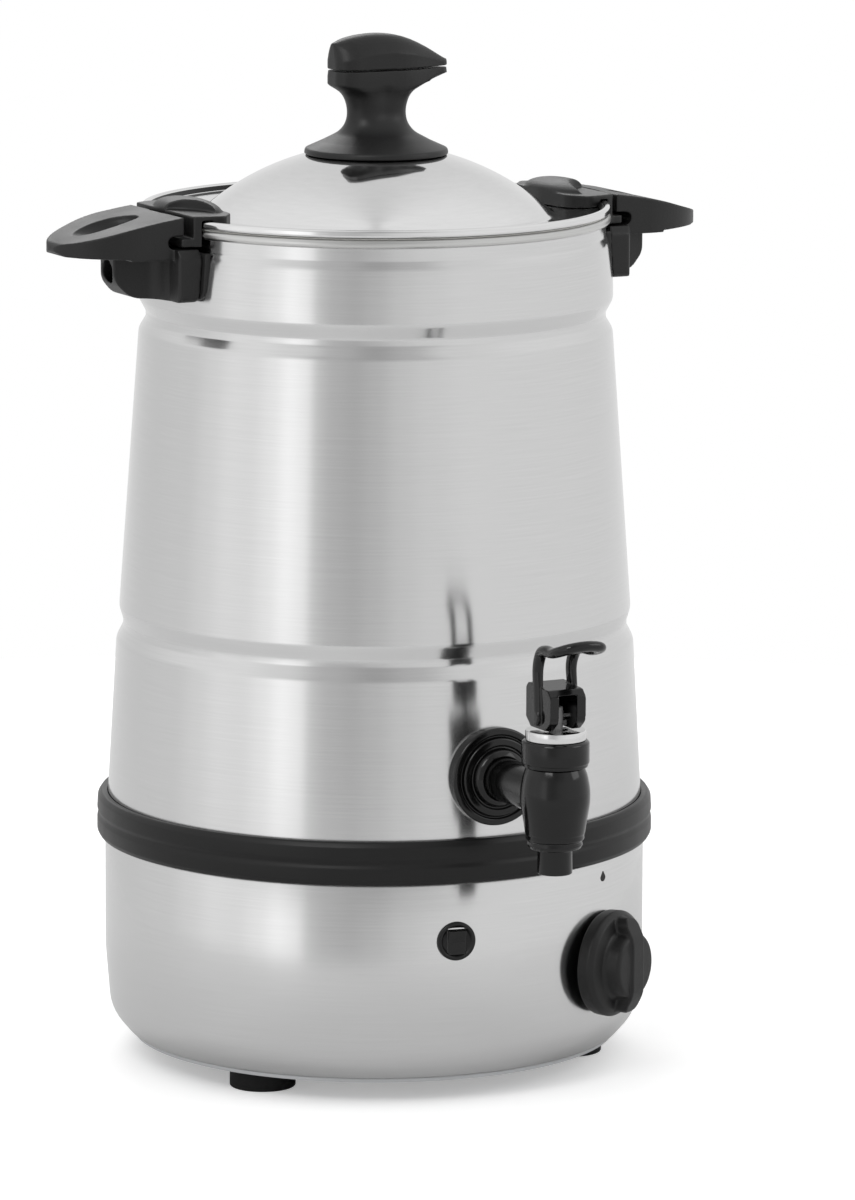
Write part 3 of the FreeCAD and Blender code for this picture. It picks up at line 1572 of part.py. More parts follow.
def tap_collar():
    """Threaded collar that closes the barrel and holds the bonnet seal."""
    low = size.barrel_top - size.collar_height
    lip = size.collar_lip
    turned_on_barrel("tap_collar", [
        (size.thread_radius + size.snug, low),
        (size.collar_radius - 0.6, low),
        (size.collar_radius - 0.4, low + 1.4),
        (size.collar_radius, low + 1.6),
        (size.collar_radius, collar_top - 0.8, 0.9),
        (size.collar_radius - 0.8, collar_top),
        (size.stem_radius + 3.4, collar_top),
        (size.stem_radius + 3.4, collar_top - lip),
        (size.thread_radius + size.snug, collar_top - lip),
    ])


def bonnet_seal():
    """Silicone disc between the barrel and the collar, with a sleeve round the stem."""
    low = size.barrel_top
    high = collar_top - size.collar_lip
    clear = size.stem_radius + size.running
    turned_on_barrel("bonnet_seal", [
        (clear, low - 2.0),
        (clear + 1.2, low - 2.0),
        (clear + 1.2, low),
        (size.thread_radius - 0.2, low),
        (size.thread_radius - 0.2, high),
        (clear, high),
    ])


def trim_ring():
    """Bright ring on top of the collar, on which the lever's cams ride."""
    turned_on_barrel("trim_ring", [
        (size.stem_radius + 2.2, collar_top),
        (size.trim_radius, collar_top),
        (size.trim_radius, ring_top - 0.4, 0.5),
        (size.trim_radius - 0.4, ring_top),
        (size.stem_radius + 2.2, ring_top),
    ])


def valve_stem():
    """Stem that carries the seat cup, with a flat sided head for the lever pin."""
    low = size.seat_height + 4
    head = pin_centre + size.stem_radius + 1.2
    body = turned_part("valve_stem", [
        (0, low),
        (size.stem_radius + 1.6, low),
        (size.stem_radius + 1.6, low + 1.6),
        (size.stem_radius, low + 1.6),
        (size.stem_radius, head - 0.8, 1.0),
        (size.stem_radius - 0.8, head),
        (0, head),
    ])
    hole = new_sketch(body, "YZ_Plane")
    draw_circle(hole, 0, pin_centre, size.pin_radius + size.running / 6)
    pocket(hole, size.stem_radius * 3, both_ways=True)
    place(body, (0, -size.tap_reach, 0), NO_TURN)


def seat_cup():
    """Silicone cup that closes the outlet."""
    low = size.seat_height + size.running
    turned_on_barrel("seat_cup", [
        (0, low),
        (size.spout_bore_radius - 0.8, low),
        (size.spout_bore_radius + 0.2, low + 0.35),
        (size.spout_bore_radius + 2.6, low + 2.0),
        (size.spout_bore_radius + 2.6, low + 5.0),
        (size.stem_radius + 0.1, low + 7.4),
        (size.stem_radius + 0.1, low + 5.5),
        (size.stem_radius + 1.7, low + 5.5),
        (size.stem_radius + 1.7, low + 3.6),
        (0, low + 3.6),
    ])


def lever_pin():
    """Pin through the cams and the head of the stem, with a low head at each end."""
    half = size.lever_half_width
    body = turned_part("lever_pin", [
        (0, -half - size.pin_head),
        (size.pin_radius, size.snug * 2 - half - size.pin_head),
        (size.pin_radius, half + size.pin_head - size.snug * 2),
        (0, half + size.pin_head),
    ])
    place(body, (0, -size.tap_reach, pin_centre), TOWARDS_RIGHT)


def tap_lever():
    """Lever with two cam cheeks, a cross bar, two arms and an open loop for the finger.

    The front corner of each cheek is an arc about a point ahead of the pin at the height of the pin,
    so the stem rises almost in proportion to the tilt.
    """
    body = new_body("tap_lever")
    half = size.lever_half_width
    reach = size.cam_reach + size.pin_height
    rear = reach
    cheek = new_sketch(body, "YZ_Plane")
    draw(cheek, [
        (-size.cam_reach, -size.pin_height),
        (rear - 4.2, -size.pin_height),
        (rear, -size.pin_height + 3.4),
        (rear, size.lever_height - size.pin_height - 2, 2.2),
        (rear - 2, size.lever_height - size.pin_height),
        (3 - reach, size.lever_height - size.pin_height - 1.4, 2.6),
        (-reach, size.lever_height - size.pin_height - 4.0),
        (-reach, 0, size.pin_height * 1.001),
    ])
    pad(cheek, half * 2, both_ways=True)
    top = size.loop_height - size.pin_height
    arm = new_sketch(body, "YZ_Plane")
    draw(arm, [
        (-2.6, -0.6, 2.7),
        (2.6, -0.6),
        (4.2, 9.0),
        (4.4, top - 7, 9.0),
        (2.6, top + 0.6, 2.6),
        (0.4, top + 2.4),
        (-3.0, top + 2.2),
        (-3.0, top - 3.2, -3.0),
        (-1.0, top - 5.6),
        (-1.4, 9.0),
    ])
    pad(arm, size.arm_outer * 2, both_ways=True)
    between = new_sketch(body, "YZ_Plane")
    draw(between, rectangle(-9, size.lever_height - size.pin_height + 0.01, 9, top + 9))
    pocket(between, size.arm_inner * 2, both_ways=True)
    slot = new_sketch(body, "YZ_Plane")
    draw(slot, [
        (-reach - 2, -size.pin_height - 2),
        (rear - 3.2, -size.pin_height - 2),
        (rear - 3.2, size.lever_height - size.pin_height - 5.6),
        (-reach - 2, size.lever_height - size.pin_height - 6.2),
    ])
    pocket(slot, size.lever_slot * 2, both_ways=True)
    pin_hole = new_sketch(body, "YZ_Plane")
    draw_circle(pin_hole, 0, 0, size.pin_radius)
    pocket(pin_hole, half * 4, both_ways=True)
    tilt = size.loop_tilt
    loop = new_sketch(body, "XY_Plane", top)
    loop.AttachmentOffset = Placement(Vector(0, 0, top.value), Rotation(Vector(1, 0, 0), -tilt.value))
    loop.setExpression("AttachmentOffset.Rotation.Angle", (-tilt).formula)
    outer = size.loop_half_width
    nose = size.loop_reach
    bar = size.loop_bar
    draw(loop, [
        (outer - 2, 3, -2.2),
        (outer, 1),
        (outer, outer - nose, -outer * 1.001),
        (0, -nose, -outer * 1.001),
        (-outer, outer - nose),
        (-outer, 1, -2.2),
        (2 - outer, 3),
    ])
    inner = outer - bar
    draw(loop, [
        (inner, -3.4),
        (inner, outer - nose, -inner * 1.001),
        (0, bar - nose, -inner * 1.001),
        (-inner, outer - nose),
        (-inner, -3.4),
    ])
    pad(loop, size.loop_thickness, both_ways=True)
    place(body, (0, -size.tap_reach, pin_centre), NO_TURN)


def build_all():
    """Build every sub-part."""
    upper_casing()
    tank()
    base_casing()
    joint_band()
    base_plate()
    feet()
    foot_screws()
    hanging_disc("heater_plate", size.heater_plate_radius, heater_top, size.heater_plate_thickness)
    heater_element()
    heater_clamp()
    clamp_stud()
    thermal_cutout()
    terminal_block()
    cable_gland()
    thermostat()
    thermostat_spindle()
    dial_knob()
    power_switch()
    switch_rocker()
    lid()
    lid_gasket()
    for side, rotation in (("right", NO_TURN), ("left", HALF_TURN)):
        lid_ear(f"lid_ear_{side}", rotation)
        handle(f"handle_{side}", rotation)
        handle_plate(f"handle_plate_{side}", rotation)
        handle_bracket(f"handle_boss_{side}", rotation)
    ear_rivets()
    knob_stem()
    knob_cap()
    knob_screw()
    handle_screws()
    tap_rose()
    tap_spacer()
    tap_washer()
    tap_nut()
    tap_body()
    tap_collar()
    bonnet_seal()
    trim_ring()
    valve_stem()
    seat_cup()
    lever_pin()
    tap_lever()
    doc.recompute()


build_all()


# Export

def export_all():
    os.makedirs("parts", exist_ok=True)
    for thing in doc.Objects:
        if "Invalid" in thing.State or "Error" in thing.State:
            raise RuntimeError(f"{thing.Label} failed: {thing.State}")
    for label, part in parts.items():
        if part.Shape.isNull() or not part.Shape.isValid():
            raise RuntimeError(f"{label} has no valid shape")
        part.Shape.exportStep(f"parts/{label}.step")


export_all()
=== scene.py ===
# %% [markdown]
# # A hot water urn, dressed for its portrait
# The solids of the urn already exist. This file gives them their visible surfaces: fine round sheet
# metal, moulded grips, a glossy tap and the materials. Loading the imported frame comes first, because
# every new piece is placed in its coordinates: metres, Z up, the tap along -Y, the handles along X.

# %% Load the frame
import json
import math
import bmesh
import bpy
from mathutils import Matrix, Vector


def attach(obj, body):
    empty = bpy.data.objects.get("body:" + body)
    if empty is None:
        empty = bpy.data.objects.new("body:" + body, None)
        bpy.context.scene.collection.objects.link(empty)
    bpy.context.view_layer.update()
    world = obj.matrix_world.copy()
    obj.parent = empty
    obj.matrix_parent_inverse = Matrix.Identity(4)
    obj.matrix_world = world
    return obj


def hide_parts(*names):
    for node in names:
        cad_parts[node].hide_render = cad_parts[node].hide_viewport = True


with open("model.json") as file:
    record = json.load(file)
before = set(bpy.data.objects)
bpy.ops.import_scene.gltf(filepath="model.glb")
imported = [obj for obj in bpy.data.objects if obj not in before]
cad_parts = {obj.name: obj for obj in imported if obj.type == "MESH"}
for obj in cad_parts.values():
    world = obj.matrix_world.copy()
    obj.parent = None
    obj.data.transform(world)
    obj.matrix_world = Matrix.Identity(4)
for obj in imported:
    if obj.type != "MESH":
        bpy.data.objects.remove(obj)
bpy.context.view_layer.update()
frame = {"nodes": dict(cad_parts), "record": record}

# %% [markdown]
# ## The camera
# A long lens from three metres keeps the urn's sides almost parallel, as in a catalogue picture. The
# camera stands to the left of the tap and looks down by about ten degrees. It is turned a little to
# the right, so that the urn sits left of the middle, which needs no lens shift.

# %% Camera
VIEW_AZIMUTH = math.radians(26.3)
VIEW_DISTANCE = 3.0
VIEW_HEIGHT = 0.714
VIEW_PITCH = math.radians(9.815)
VIEW_TURN = math.radians(-0.4214)
VIEW_ROLL = 0.00295
LENS = 214.56

camera_data = bpy.data.cameras.new("camera")
camera_data.lens = LENS
camera_data.sensor_fit = "VERTICAL"
camera_data.sensor_height = 36.0
camera_data.clip_end = 50.0
camera = bpy.data.objects.new("camera", camera_data)
bpy.context.scene.collection.objects.link(camera)
stand = Matrix.Translation((
    -VIEW_DISTANCE * math.sin(VIEW_AZIMUTH),
    -VIEW_DISTANCE * math.cos(VIEW_AZIMUTH),
    VIEW_HEIGHT,
))
camera.matrix_world = (
    stand
    @ Matrix.Rotation(-VIEW_AZIMUTH, 4, "Z")
    @ Matrix.Rotation(math.pi / 2 - VIEW_PITCH, 4, "X")
    @ Matrix.Rotation(VIEW_TURN, 4, "Y")
    @ Matrix.Rotation(VIEW_ROLL, 4, "Z")
)
bpy.context.scene.camera = camera
print("camera at", [round(value, 3) for value in camera.location])

# %% [markdown]
# ## Small tools for nodes
# A material or a world is a little graph. One helper adds a node, sets its options and fills its
# sockets with numbers or with links from earlier nodes, so each graph reads as a short recipe.

# %% Node helpers
def add_node(tree, kind, sockets=None, **options):
    """Add one node; a socket value that is itself a socket becomes a link."""
    node = tree.nodes.new(kind)
    for name, value in options.items():
        setattr(node, name, value)
    for name, value in (sockets or {}).items():
        if isinstance(value, bpy.types.NodeSocket):
            tree.links.new(value, node.inputs[name])
        else:
            node.inputs[name].default_value = value
    return node


def add_math(tree, operation, first, second=0.0, third=0.0):
    """A Math node's result."""
    node = tree.nodes.new("ShaderNodeMath")
    node.operation = operation
    for socket, value in zip(node.inputs, (first, second, third)):
        if isinstance(value, bpy.types.NodeSocket):
            tree.links.new(value, socket)
        else:
            socket.default_value = value
    return node.outputs[0]


def mix_colors(tree, factor, first, second):
    """Mix two colours, each a socket or a constant."""
    node = tree.nodes.new("ShaderNodeMix")
    node.data_type = "RGBA"
    tree.links.new(factor, node.inputs["Factor"])
    sockets = [socket for socket in node.inputs if socket.type == "RGBA"]
    for socket, value in zip(sockets, (first, second)):
        if isinstance(value, bpy.types.NodeSocket):
            tree.links.new(value, socket)
        else:
            socket.default_value = (*value, 1.0)
    return [socket for socket in node.outputs if socket.type == "RGBA"][0]


def fill_ramp(ramp, stops):
    """Give a colour ramp its stops, each a position and a grey level or a colour."""
    elements = ramp.color_ramp.elements
    while len(elements) > 1:
        elements.remove(elements[-1])
    for index, (position, level) in enumerate(stops):
        element = elements[0] if index == 0 else elements.new(position)
        element.position = position
        color = level if isinstance(level, tuple) else (level, level, level)
        element.color = (*color, 1.0)


# %% [markdown]
# ## The studio
# Polished and brushed metal shows mostly what stands around it. A photographer builds a white tent
# with one brighter panel to the left of the camera and a dimmer gap behind it, and the bands on the
# urn's body are their reflections. The tent is made here in the world, as a ring of soft panels that
# depends on the direction only. Rays that go straight to the camera see plain white.

# %% Studio tent
PANELS = (
    # degrees to the right of the camera's own direction, brightness
    (-180, 0.80), (-130, 0.72), (-98, 0.76), (-84, 0.86), (-72, 0.97), (-60, 0.95),
    (-50, 1.08), (-41, 1.28), (-33, 1.16), (-27, 0.70), (-20, 0.58), (-10, 0.53),
    (0, 0.60), (12, 0.72), (25, 0.79), (45, 0.84), (90, 0.83), (140, 0.80), (180, 0.80),
)
CEILING = (
    (-180, 0.70), (-130, 0.88), (-95, 0.92), (-70, 0.94), (-45, 0.84), (-25, 0.56), (0, 0.44),
    (20, 0.56), (45, 0.80), (90, 0.88), (130, 0.88), (180, 0.70),
)
CEILING_START = 0.12
CEILING_FULL = 0.5

world = bpy.data.worlds.new("studio")
bpy.context.scene.world = world
world.use_nodes = True
tent = world.node_tree
tent.nodes.clear()
towards_camera = (-math.sin(VIEW_AZIMUTH), -math.cos(VIEW_AZIMUTH), 0.0)
towards_right = (math.cos(VIEW_AZIMUTH), -math.sin(VIEW_AZIMUTH), 0.0)
direction = add_node(tent, "ShaderNodeTexCoord").outputs["Generated"]
ahead = add_node(tent, "ShaderNodeVectorMath", {0: direction, 1: towards_camera}, operation="DOT_PRODUCT")
aside = add_node(tent, "ShaderNodeVectorMath", {0: direction, 1: towards_right}, operation="DOT_PRODUCT")
angle = add_math(tent, "ARCTAN2", aside.outputs["Value"], ahead.outputs["Value"])
place = add_math(tent, "MULTIPLY_ADD", angle, 0.5 / math.pi, 0.5)


def ring_of_light(stops):
    """Brightness round the urn, from stops in degrees."""
    ring = add_node(tent, "ShaderNodeValToRGB", {"Fac": place})
    fill_ramp(ring, [((degrees + 180) / 360, level) for degrees, level in stops])
    ring.color_ramp.interpolation = "EASE"
    return ring.outputs["Color"]


height = add_node(tent, "ShaderNodeSeparateXYZ", {0: direction}).outputs["Z"]
upward = add_node(tent, "ShaderNodeMapRange", {
    "Value": height, "From Min": CEILING_START, "From Max": CEILING_FULL,
}, interpolation_type="SMOOTHSTEP")
tent_color = mix_colors(tent, upward.outputs[0], ring_of_light(PANELS), ring_of_light(CEILING))
tent_light = add_node(tent, "ShaderNodeBackground", {"Color": tent_color, "Strength": 1.0})
plain_white = add_node(tent, "ShaderNodeBackground", {"Color": (1.0, 1.0, 1.0, 1.0), "Strength": 1.0})
seen = add_node(tent, "ShaderNodeLightPath").outputs["Is Camera Ray"]
mixed = add_node(tent, "ShaderNodeMixShader", {0: seen, 1: tent_light.outputs[0], 2: plain_white.outputs[0]})
add_node(tent, "ShaderNodeOutputWorld", {"Surface": mixed.outputs[0]})
print("tent panels:", len(PANELS))

# %% [markdown]
# Three large soft lamps give the black plastic its highlights and set the urn's shadow on the floor.
# They are linked to the floor and to the dressed plastic and rubber pieces only, because in bare metal
# each would show as a hard white patch. The small solids that stay are lit by the tent alone.

# %% Lamps
LAMPS = (
    # name, place, size in metres, watts
    ("key_lamp", (-1.5, -1.2, 1.9), 1.1, 16.0),
    ("fill_lamp", (1.7, -1.3, 1.3), 1.2, 7.0),
    ("rim_lamp", (0.6, 1.8, 1.6), 1.0, 9.0),
)
LAMP_AIM = Vector((0, 0, 0.2))
lamp_lit = bpy.data.collections.new("lamp_lit")
for lamp_name, lamp_place, lamp_size, watts in LAMPS:
    lamp_data = bpy.data.lights.new(lamp_name, "AREA")
    lamp_data.energy = watts
    lamp_data.size = lamp_size
    lamp = bpy.data.objects.new(lamp_name, lamp_data)
    lamp.location = lamp_place
    lamp.rotation_euler = (LAMP_AIM - Vector(lamp_place)).to_track_quat("-Z", "Y").to_euler()
    lamp.visible_camera = False
    lamp.light_linking.receiver_collection = lamp_lit
    bpy.context.scene.collection.objects.link(lamp)
print("lamps:", len(LAMPS))

# %% [markdown]
# The floor is a pale disc. It keeps the shadow under the urn, and for rays from the camera a little
# light is added to it, so that away from the shadow it is as white as the backdrop.

# %% Floor
FLOOR_RADIUS = 0.95
FLOOR_LIFT = 0.34
FLOOR_TONE = (0.86, 0.86, 0.86)
MIRRORED_TONE = (0.70, 0.70, 0.70)

floor_mesh = bpy.data.meshes.new("floor")
floor_form = bmesh.new()
bmesh.ops.create_circle(floor_form, cap_ends=True, radius=FLOOR_RADIUS, segments=160)
floor_form.to_mesh(floor_mesh)
floor_form.free()
floor = bpy.data.objects.new("floor", floor_mesh)
bpy.context.scene.collection.objects.link(floor)
floor_paint = bpy.data.materials.new("floor_paint")
floor_paint.use_nodes = True
paint = floor_paint.node_tree
paint.nodes.clear()
rays = add_node(paint, "ShaderNodeLightPath").outputs
lift_strength = add_math(paint, "MULTIPLY", rays["Is Camera Ray"], FLOOR_LIFT)
lift = add_node(paint, "ShaderNodeEmission", {"Color": (1.0, 1.0, 1.0, 1.0), "Strength": lift_strength})
tone = mix_colors(paint, rays["Is Glossy Ray"], FLOOR_TONE, MIRRORED_TONE)
matt = add_node(paint, "ShaderNodeBsdfDiffuse", {"Color": tone})
floor_sum = add_node(paint, "ShaderNodeAddShader", {0: matt.outputs[0], 1: lift.outputs[0]})
add_node(paint, "ShaderNodeOutputMaterial", {"Surface": floor_sum.outputs[0]})
floor_mesh.materials.append(floor_paint)
lamp_lit.objects.link(floor)
print("floor radius:", FLOOR_RADIUS)

# %% [markdown]
# ## Shader groups
# Several finishes share the same effects, so each effect is a node group with named inputs. The first
# is brushing: fine lines that run round a turned or rolled sheet. Its pattern comes from the direction
# round the axis, scaled down, and from the height, scaled up, so it has no seam. The axis may lie
# anywhere, which the Centre input gives.

# %% Group: brushed lines
def new_group(name, inputs, outputs):
    """An empty shader group with its sockets; returns the group and its input node's sockets."""
    group = bpy.data.node_groups.new(name, "ShaderNodeTree")
    for label, kind, value in inputs:
        socket = group.interface.new_socket(label, in_out="INPUT", socket_type=kind)
        socket.default_value = value
    for label, kind in outputs:
        group.interface.new_socket(label, in_out="OUTPUT", socket_type=kind)
    return group, group.nodes.new("NodeGroupInput").outputs


FLOAT = "NodeSocketFloat"

brushed_lines, given = new_group("brushed_lines", (
    ("Around", FLOAT, 3.0), ("Along", FLOAT, 2600.0), ("Contrast", FLOAT, 0.5),
), (("Lines", FLOAT), ("Blotches", FLOAT)))
spot = add_node(brushed_lines, "ShaderNodeTexCoord").outputs["Object"]
parts_of_spot = add_node(brushed_lines, "ShaderNodeSeparateXYZ", {0: spot}).outputs
flat_spot = add_node(brushed_lines, "ShaderNodeCombineXYZ", {
    "X": parts_of_spot["X"], "Y": parts_of_spot["Y"],
})
heading = add_node(brushed_lines, "ShaderNodeVectorMath", {0: flat_spot.outputs[0]}, operation="NORMALIZE")
around = add_node(brushed_lines, "ShaderNodeVectorMath", {
    0: heading.outputs[0], "Scale": given["Around"],
}, operation="SCALE")
around_parts = add_node(brushed_lines, "ShaderNodeSeparateXYZ", {0: around.outputs[0]}).outputs
stretched = add_node(brushed_lines, "ShaderNodeCombineXYZ", {
    "X": around_parts["X"], "Y": around_parts["Y"],
    "Z": add_math(brushed_lines, "MULTIPLY", parts_of_spot["Z"], given["Along"]),
})
fine = add_node(brushed_lines, "ShaderNodeTexNoise", {
    "Vector": stretched.outputs[0], "Scale": 1.0, "Detail": 3.0, "Roughness": 0.6,
})
lines = add_node(brushed_lines, "ShaderNodeMapRange", {
    "Value": fine.outputs["Fac"], "From Min": 0.3, "From Max": 0.7,
    "To Min": add_math(brushed_lines, "MULTIPLY_ADD", given["Contrast"], -0.5, 0.5),
    "To Max": add_math(brushed_lines, "MULTIPLY_ADD", given["Contrast"], 0.5, 0.5),
})
clouds = add_node(brushed_lines, "ShaderNodeTexNoise", {
    "Vector": spot, "Scale": 14.0, "Detail": 3.0, "Roughness": 0.5,
})
add_node(brushed_lines, "NodeGroupOutput", {"Lines": lines.outputs[0], "Blotches": clouds.outputs["Fac"]})
print("group:", brushed_lines.name)

# %% [markdown]
# The second group is the fine grain of a spark eroded mould, which keeps black plastic from looking
# like glass. It also gives a broad, faint unevenness where hands have polished the surface.

# %% Group: moulded grain
moulded_grain, given = new_group("moulded_grain", (
    ("Grain Size", FLOAT, 0.0006), ("Handling Size", FLOAT, 0.02),
), (("Grain", FLOAT), ("Handling", FLOAT)))
spot = add_node(moulded_grain, "ShaderNodeTexCoord").outputs["Object"]
grain = add_node(moulded_grain, "ShaderNodeTexNoise", {
    "Vector": spot, "Scale": add_math(moulded_grain, "DIVIDE", 1.0, given["Grain Size"]),
    "Detail": 2.0, "Roughness": 0.65,
})
handling = add_node(moulded_grain, "ShaderNodeTexNoise", {
    "Vector": spot, "Scale": add_math(moulded_grain, "DIVIDE", 1.0, given["Handling Size"]), "Detail": 3.0,
})
add_node(moulded_grain, "NodeGroupOutput", {
    "Grain": grain.outputs["Fac"], "Handling": handling.outputs["Fac"],
})
print("group:", moulded_grain.name)

# %% [markdown]
# The third group finds edges. A mould wears and a hand rubs along them, so they turn a little paler.
# The mask compares the true normal with one rounded by a bevel.

# %% Group: rubbed edges
rubbed_edges, given = new_group("rubbed_edges", (
    ("Width", FLOAT, 0.0008), ("Strength", FLOAT, 1.0),
), (("Edge", FLOAT),))
true_normal = add_node(rubbed_edges, "ShaderNodeNewGeometry").outputs["Normal"]
soft_normal = add_node(rubbed_edges, "ShaderNodeBevel", {"Radius": given["Width"]}, samples=4).outputs[0]
agreement = add_node(rubbed_edges, "ShaderNodeVectorMath", {
    0: true_normal, 1: soft_normal,
}, operation="DOT_PRODUCT")
edge = add_math(rubbed_edges, "SUBTRACT", 1.0, agreement.outputs["Value"])
add_node(rubbed_edges, "NodeGroupOutput", {
    "Edge": add_math(rubbed_edges, "MULTIPLY", edge, given["Strength"]),
})
print("group:", rubbed_edges.name)

# %% [markdown]
# ## Materials
# Each finish is one material around a Principled shader. The numbers that are the same all over are
# set on the shader itself; only what changes over the surface comes through nodes.

# %% Material helpers
materials = {}


def new_material(name, **sockets):
    """A material with one Principled shader; returns its tree and the shader."""
    material = bpy.data.materials.new(name)
    material.use_nodes = True
    tree = material.node_tree
    shader = tree.nodes["Principled BSDF"]
    for label, value in sockets.items():
        shader.inputs[label.replace("_", " ")].default_value = value
    materials[name] = material
    return tree, shader


def use_group(tree, group, **sockets):
    """Place a shader group with its own values and return its outputs."""
    node = tree.nodes.new("ShaderNodeGroup")
    node.node_tree = group
    for label, value in sockets.items():
        node.inputs[label.replace("_", " ")].default_value = value
    return node.outputs


NOISE_LOW = 0.3
NOISE_HIGH = 0.7


def scale_to(tree, value, low, high):
    """Map a noise value to a working range."""
    node = add_node(tree, "ShaderNodeMapRange", {
        "Value": value, "From Min": NOISE_LOW, "From Max": NOISE_HIGH, "To Min": low, "To Max": high,
    })
    return node.outputs[0]


def grey_between(tree, factor, low, high):
    """A colour that moves between two colours with the factor."""
    ramp = add_node(tree, "ShaderNodeValToRGB", {"Fac": factor})
    fill_ramp(ramp, ((0.0, low), (1.0, high)))
    return ramp.outputs["Color"]


def bump(tree, shader, height, distance):
    """Drive the shader's normal from a height."""
    node = add_node(tree, "ShaderNodeBump", {"Height": height, "Distance": distance, "Strength": 1.0})
    tree.links.new(node.outputs[0], shader.inputs["Normal"])


# %% [markdown]
# The steels differ in how they were finished. The body sheet is brushed round and then lightly
# polished, so it still mirrors the tap as a soft smear. The lid and the rims are polished further.
# Inside, the sheet is duller.

# %% Steels
def steel(name, low, high, roughness, lines_height, around, along, anisotropic=0.0):
    """A stainless steel with brushed lines of the given depth."""
    tree, shader = new_material(name, Metallic=1.0, Anisotropic=anisotropic, Anisotropic_Rotation=0.25)
    marks = use_group(tree, brushed_lines, Around=around, Along=along, Contrast=0.6)
    tree.links.new(grey_between(tree, marks["Lines"], low, high), shader.inputs["Base Color"])
    rough = scale_to(tree, marks["Blotches"], roughness * 0.92, roughness * 1.1)
    tree.links.new(rough, shader.inputs["Roughness"])
    if lines_height > 0:
        bump(tree, shader, marks["Lines"], lines_height)
    if anisotropic > 0:
        tangent = add_node(tree, "ShaderNodeTangent", direction_type="RADIAL", axis="Z")
        tree.links.new(tangent.outputs[0], shader.inputs["Tangent"])


steel("brushed_body", (0.68, 0.68, 0.68), (0.74, 0.74, 0.74), 0.17, 0.0000014, 3.0, 2600.0, 0.7)
steel("polished_lid", (0.78, 0.78, 0.78), (0.83, 0.83, 0.83), 0.07, 0.0, 6.0, 900.0)
steel("tank_sheet", (0.58, 0.58, 0.57), (0.68, 0.68, 0.67), 0.30, 0.000006, 2.0, 1400.0)
steel("zinc_plate", (0.50, 0.51, 0.52), (0.62, 0.63, 0.64), 0.42, 0.000008, 2.0, 900.0)
steel("aluminium_plate", (0.60, 0.60, 0.62), (0.72, 0.72, 0.74), 0.38, 0.00001, 2.0, 700.0)
steel("heater_sheath", (0.20, 0.19, 0.18), (0.34, 0.32, 0.30), 0.45, 0.00001, 5.0, 500.0)
steel("fastener", (0.58, 0.58, 0.58), (0.70, 0.70, 0.70), 0.28, 0.000004, 12.0, 2200.0)
steel("bright_ring", (0.74, 0.74, 0.74), (0.82, 0.82, 0.82), 0.12, 0.000002, 10.0, 3000.0)
print("steels:", len(materials))

# %% [markdown]
# The plastics and rubbers are nearly black or pale, with a grain that suits each mould: matt grips,
# a glossy tap, soft rubber on the band and feet, milky silicone on the seals.

# %% Plastics and rubbers
def moulding(name, low, high, roughness, grain_size, grain_depth, edge_color, shine=0.3):
    """A moulded plastic or rubber with grain, handling marks and rubbed edges; returns its shader."""
    tree, shader = new_material(name, Specular_IOR_Level=shine)
    surface = use_group(tree, moulded_grain, Grain_Size=grain_size, Handling_Size=0.02)
    edges = use_group(tree, rubbed_edges, Width=0.0007, Strength=2.5)
    base = grey_between(tree, surface["Handling"], low, high)
    result = mix_colors(tree, edges["Edge"], base, edge_color)
    tree.links.new(result, shader.inputs["Base Color"])
    rough = scale_to(tree, surface["Handling"], roughness * 0.9, roughness * 1.1)
    tree.links.new(rough, shader.inputs["Roughness"])
    bump(tree, shader, surface["Grain"], grain_depth)
    return shader


def grey(level):
    """A neutral colour."""
    return (level, level, level)


moulding("grip_plastic", grey(0.006), grey(0.008), 0.42, 0.0007, 0.00006, grey(0.03), 0.38)
moulding("tap_plastic", grey(0.002), grey(0.003), 0.13, 0.002, 0.00001, grey(0.01), 0.42)
moulding("satin_plastic", grey(0.006), grey(0.009), 0.36, 0.0008, 0.00003, grey(0.03), 0.30)
moulding("band_rubber", grey(0.006), grey(0.009), 0.38, 0.0012, 0.00003, grey(0.02), 0.28)
moulding("foot_rubber", grey(0.006), grey(0.009), 0.6, 0.0009, 0.00005, grey(0.02), 0.20)
moulding("stem_plastic", grey(0.34), grey(0.40), 0.4, 0.0006, 0.00002, grey(0.4))
moulding("cream_plastic", (0.62, 0.58, 0.50), (0.70, 0.66, 0.58), 0.5, 0.0008, 0.00003, (0.75, 0.72, 0.65))
silicone = moulding(
    "silicone", (0.62, 0.61, 0.58), (0.72, 0.71, 0.68), 0.45, 0.001, 0.00002, (0.78, 0.78, 0.76))
silicone.inputs["Subsurface Weight"].default_value = 0.15
silicone.inputs["Subsurface Radius"].default_value = (0.002, 0.002, 0.0018)
print("materials:", sorted(materials))

# %% [markdown]
# ## Tools for shapes
# Sheet metal vessels are spun or rolled, so their surfaces are turned outlines. An outline is written
# in millimetres, and a third number on a corner is the radius that rounds it.

# %% Rounded outlines
MM = 0.001


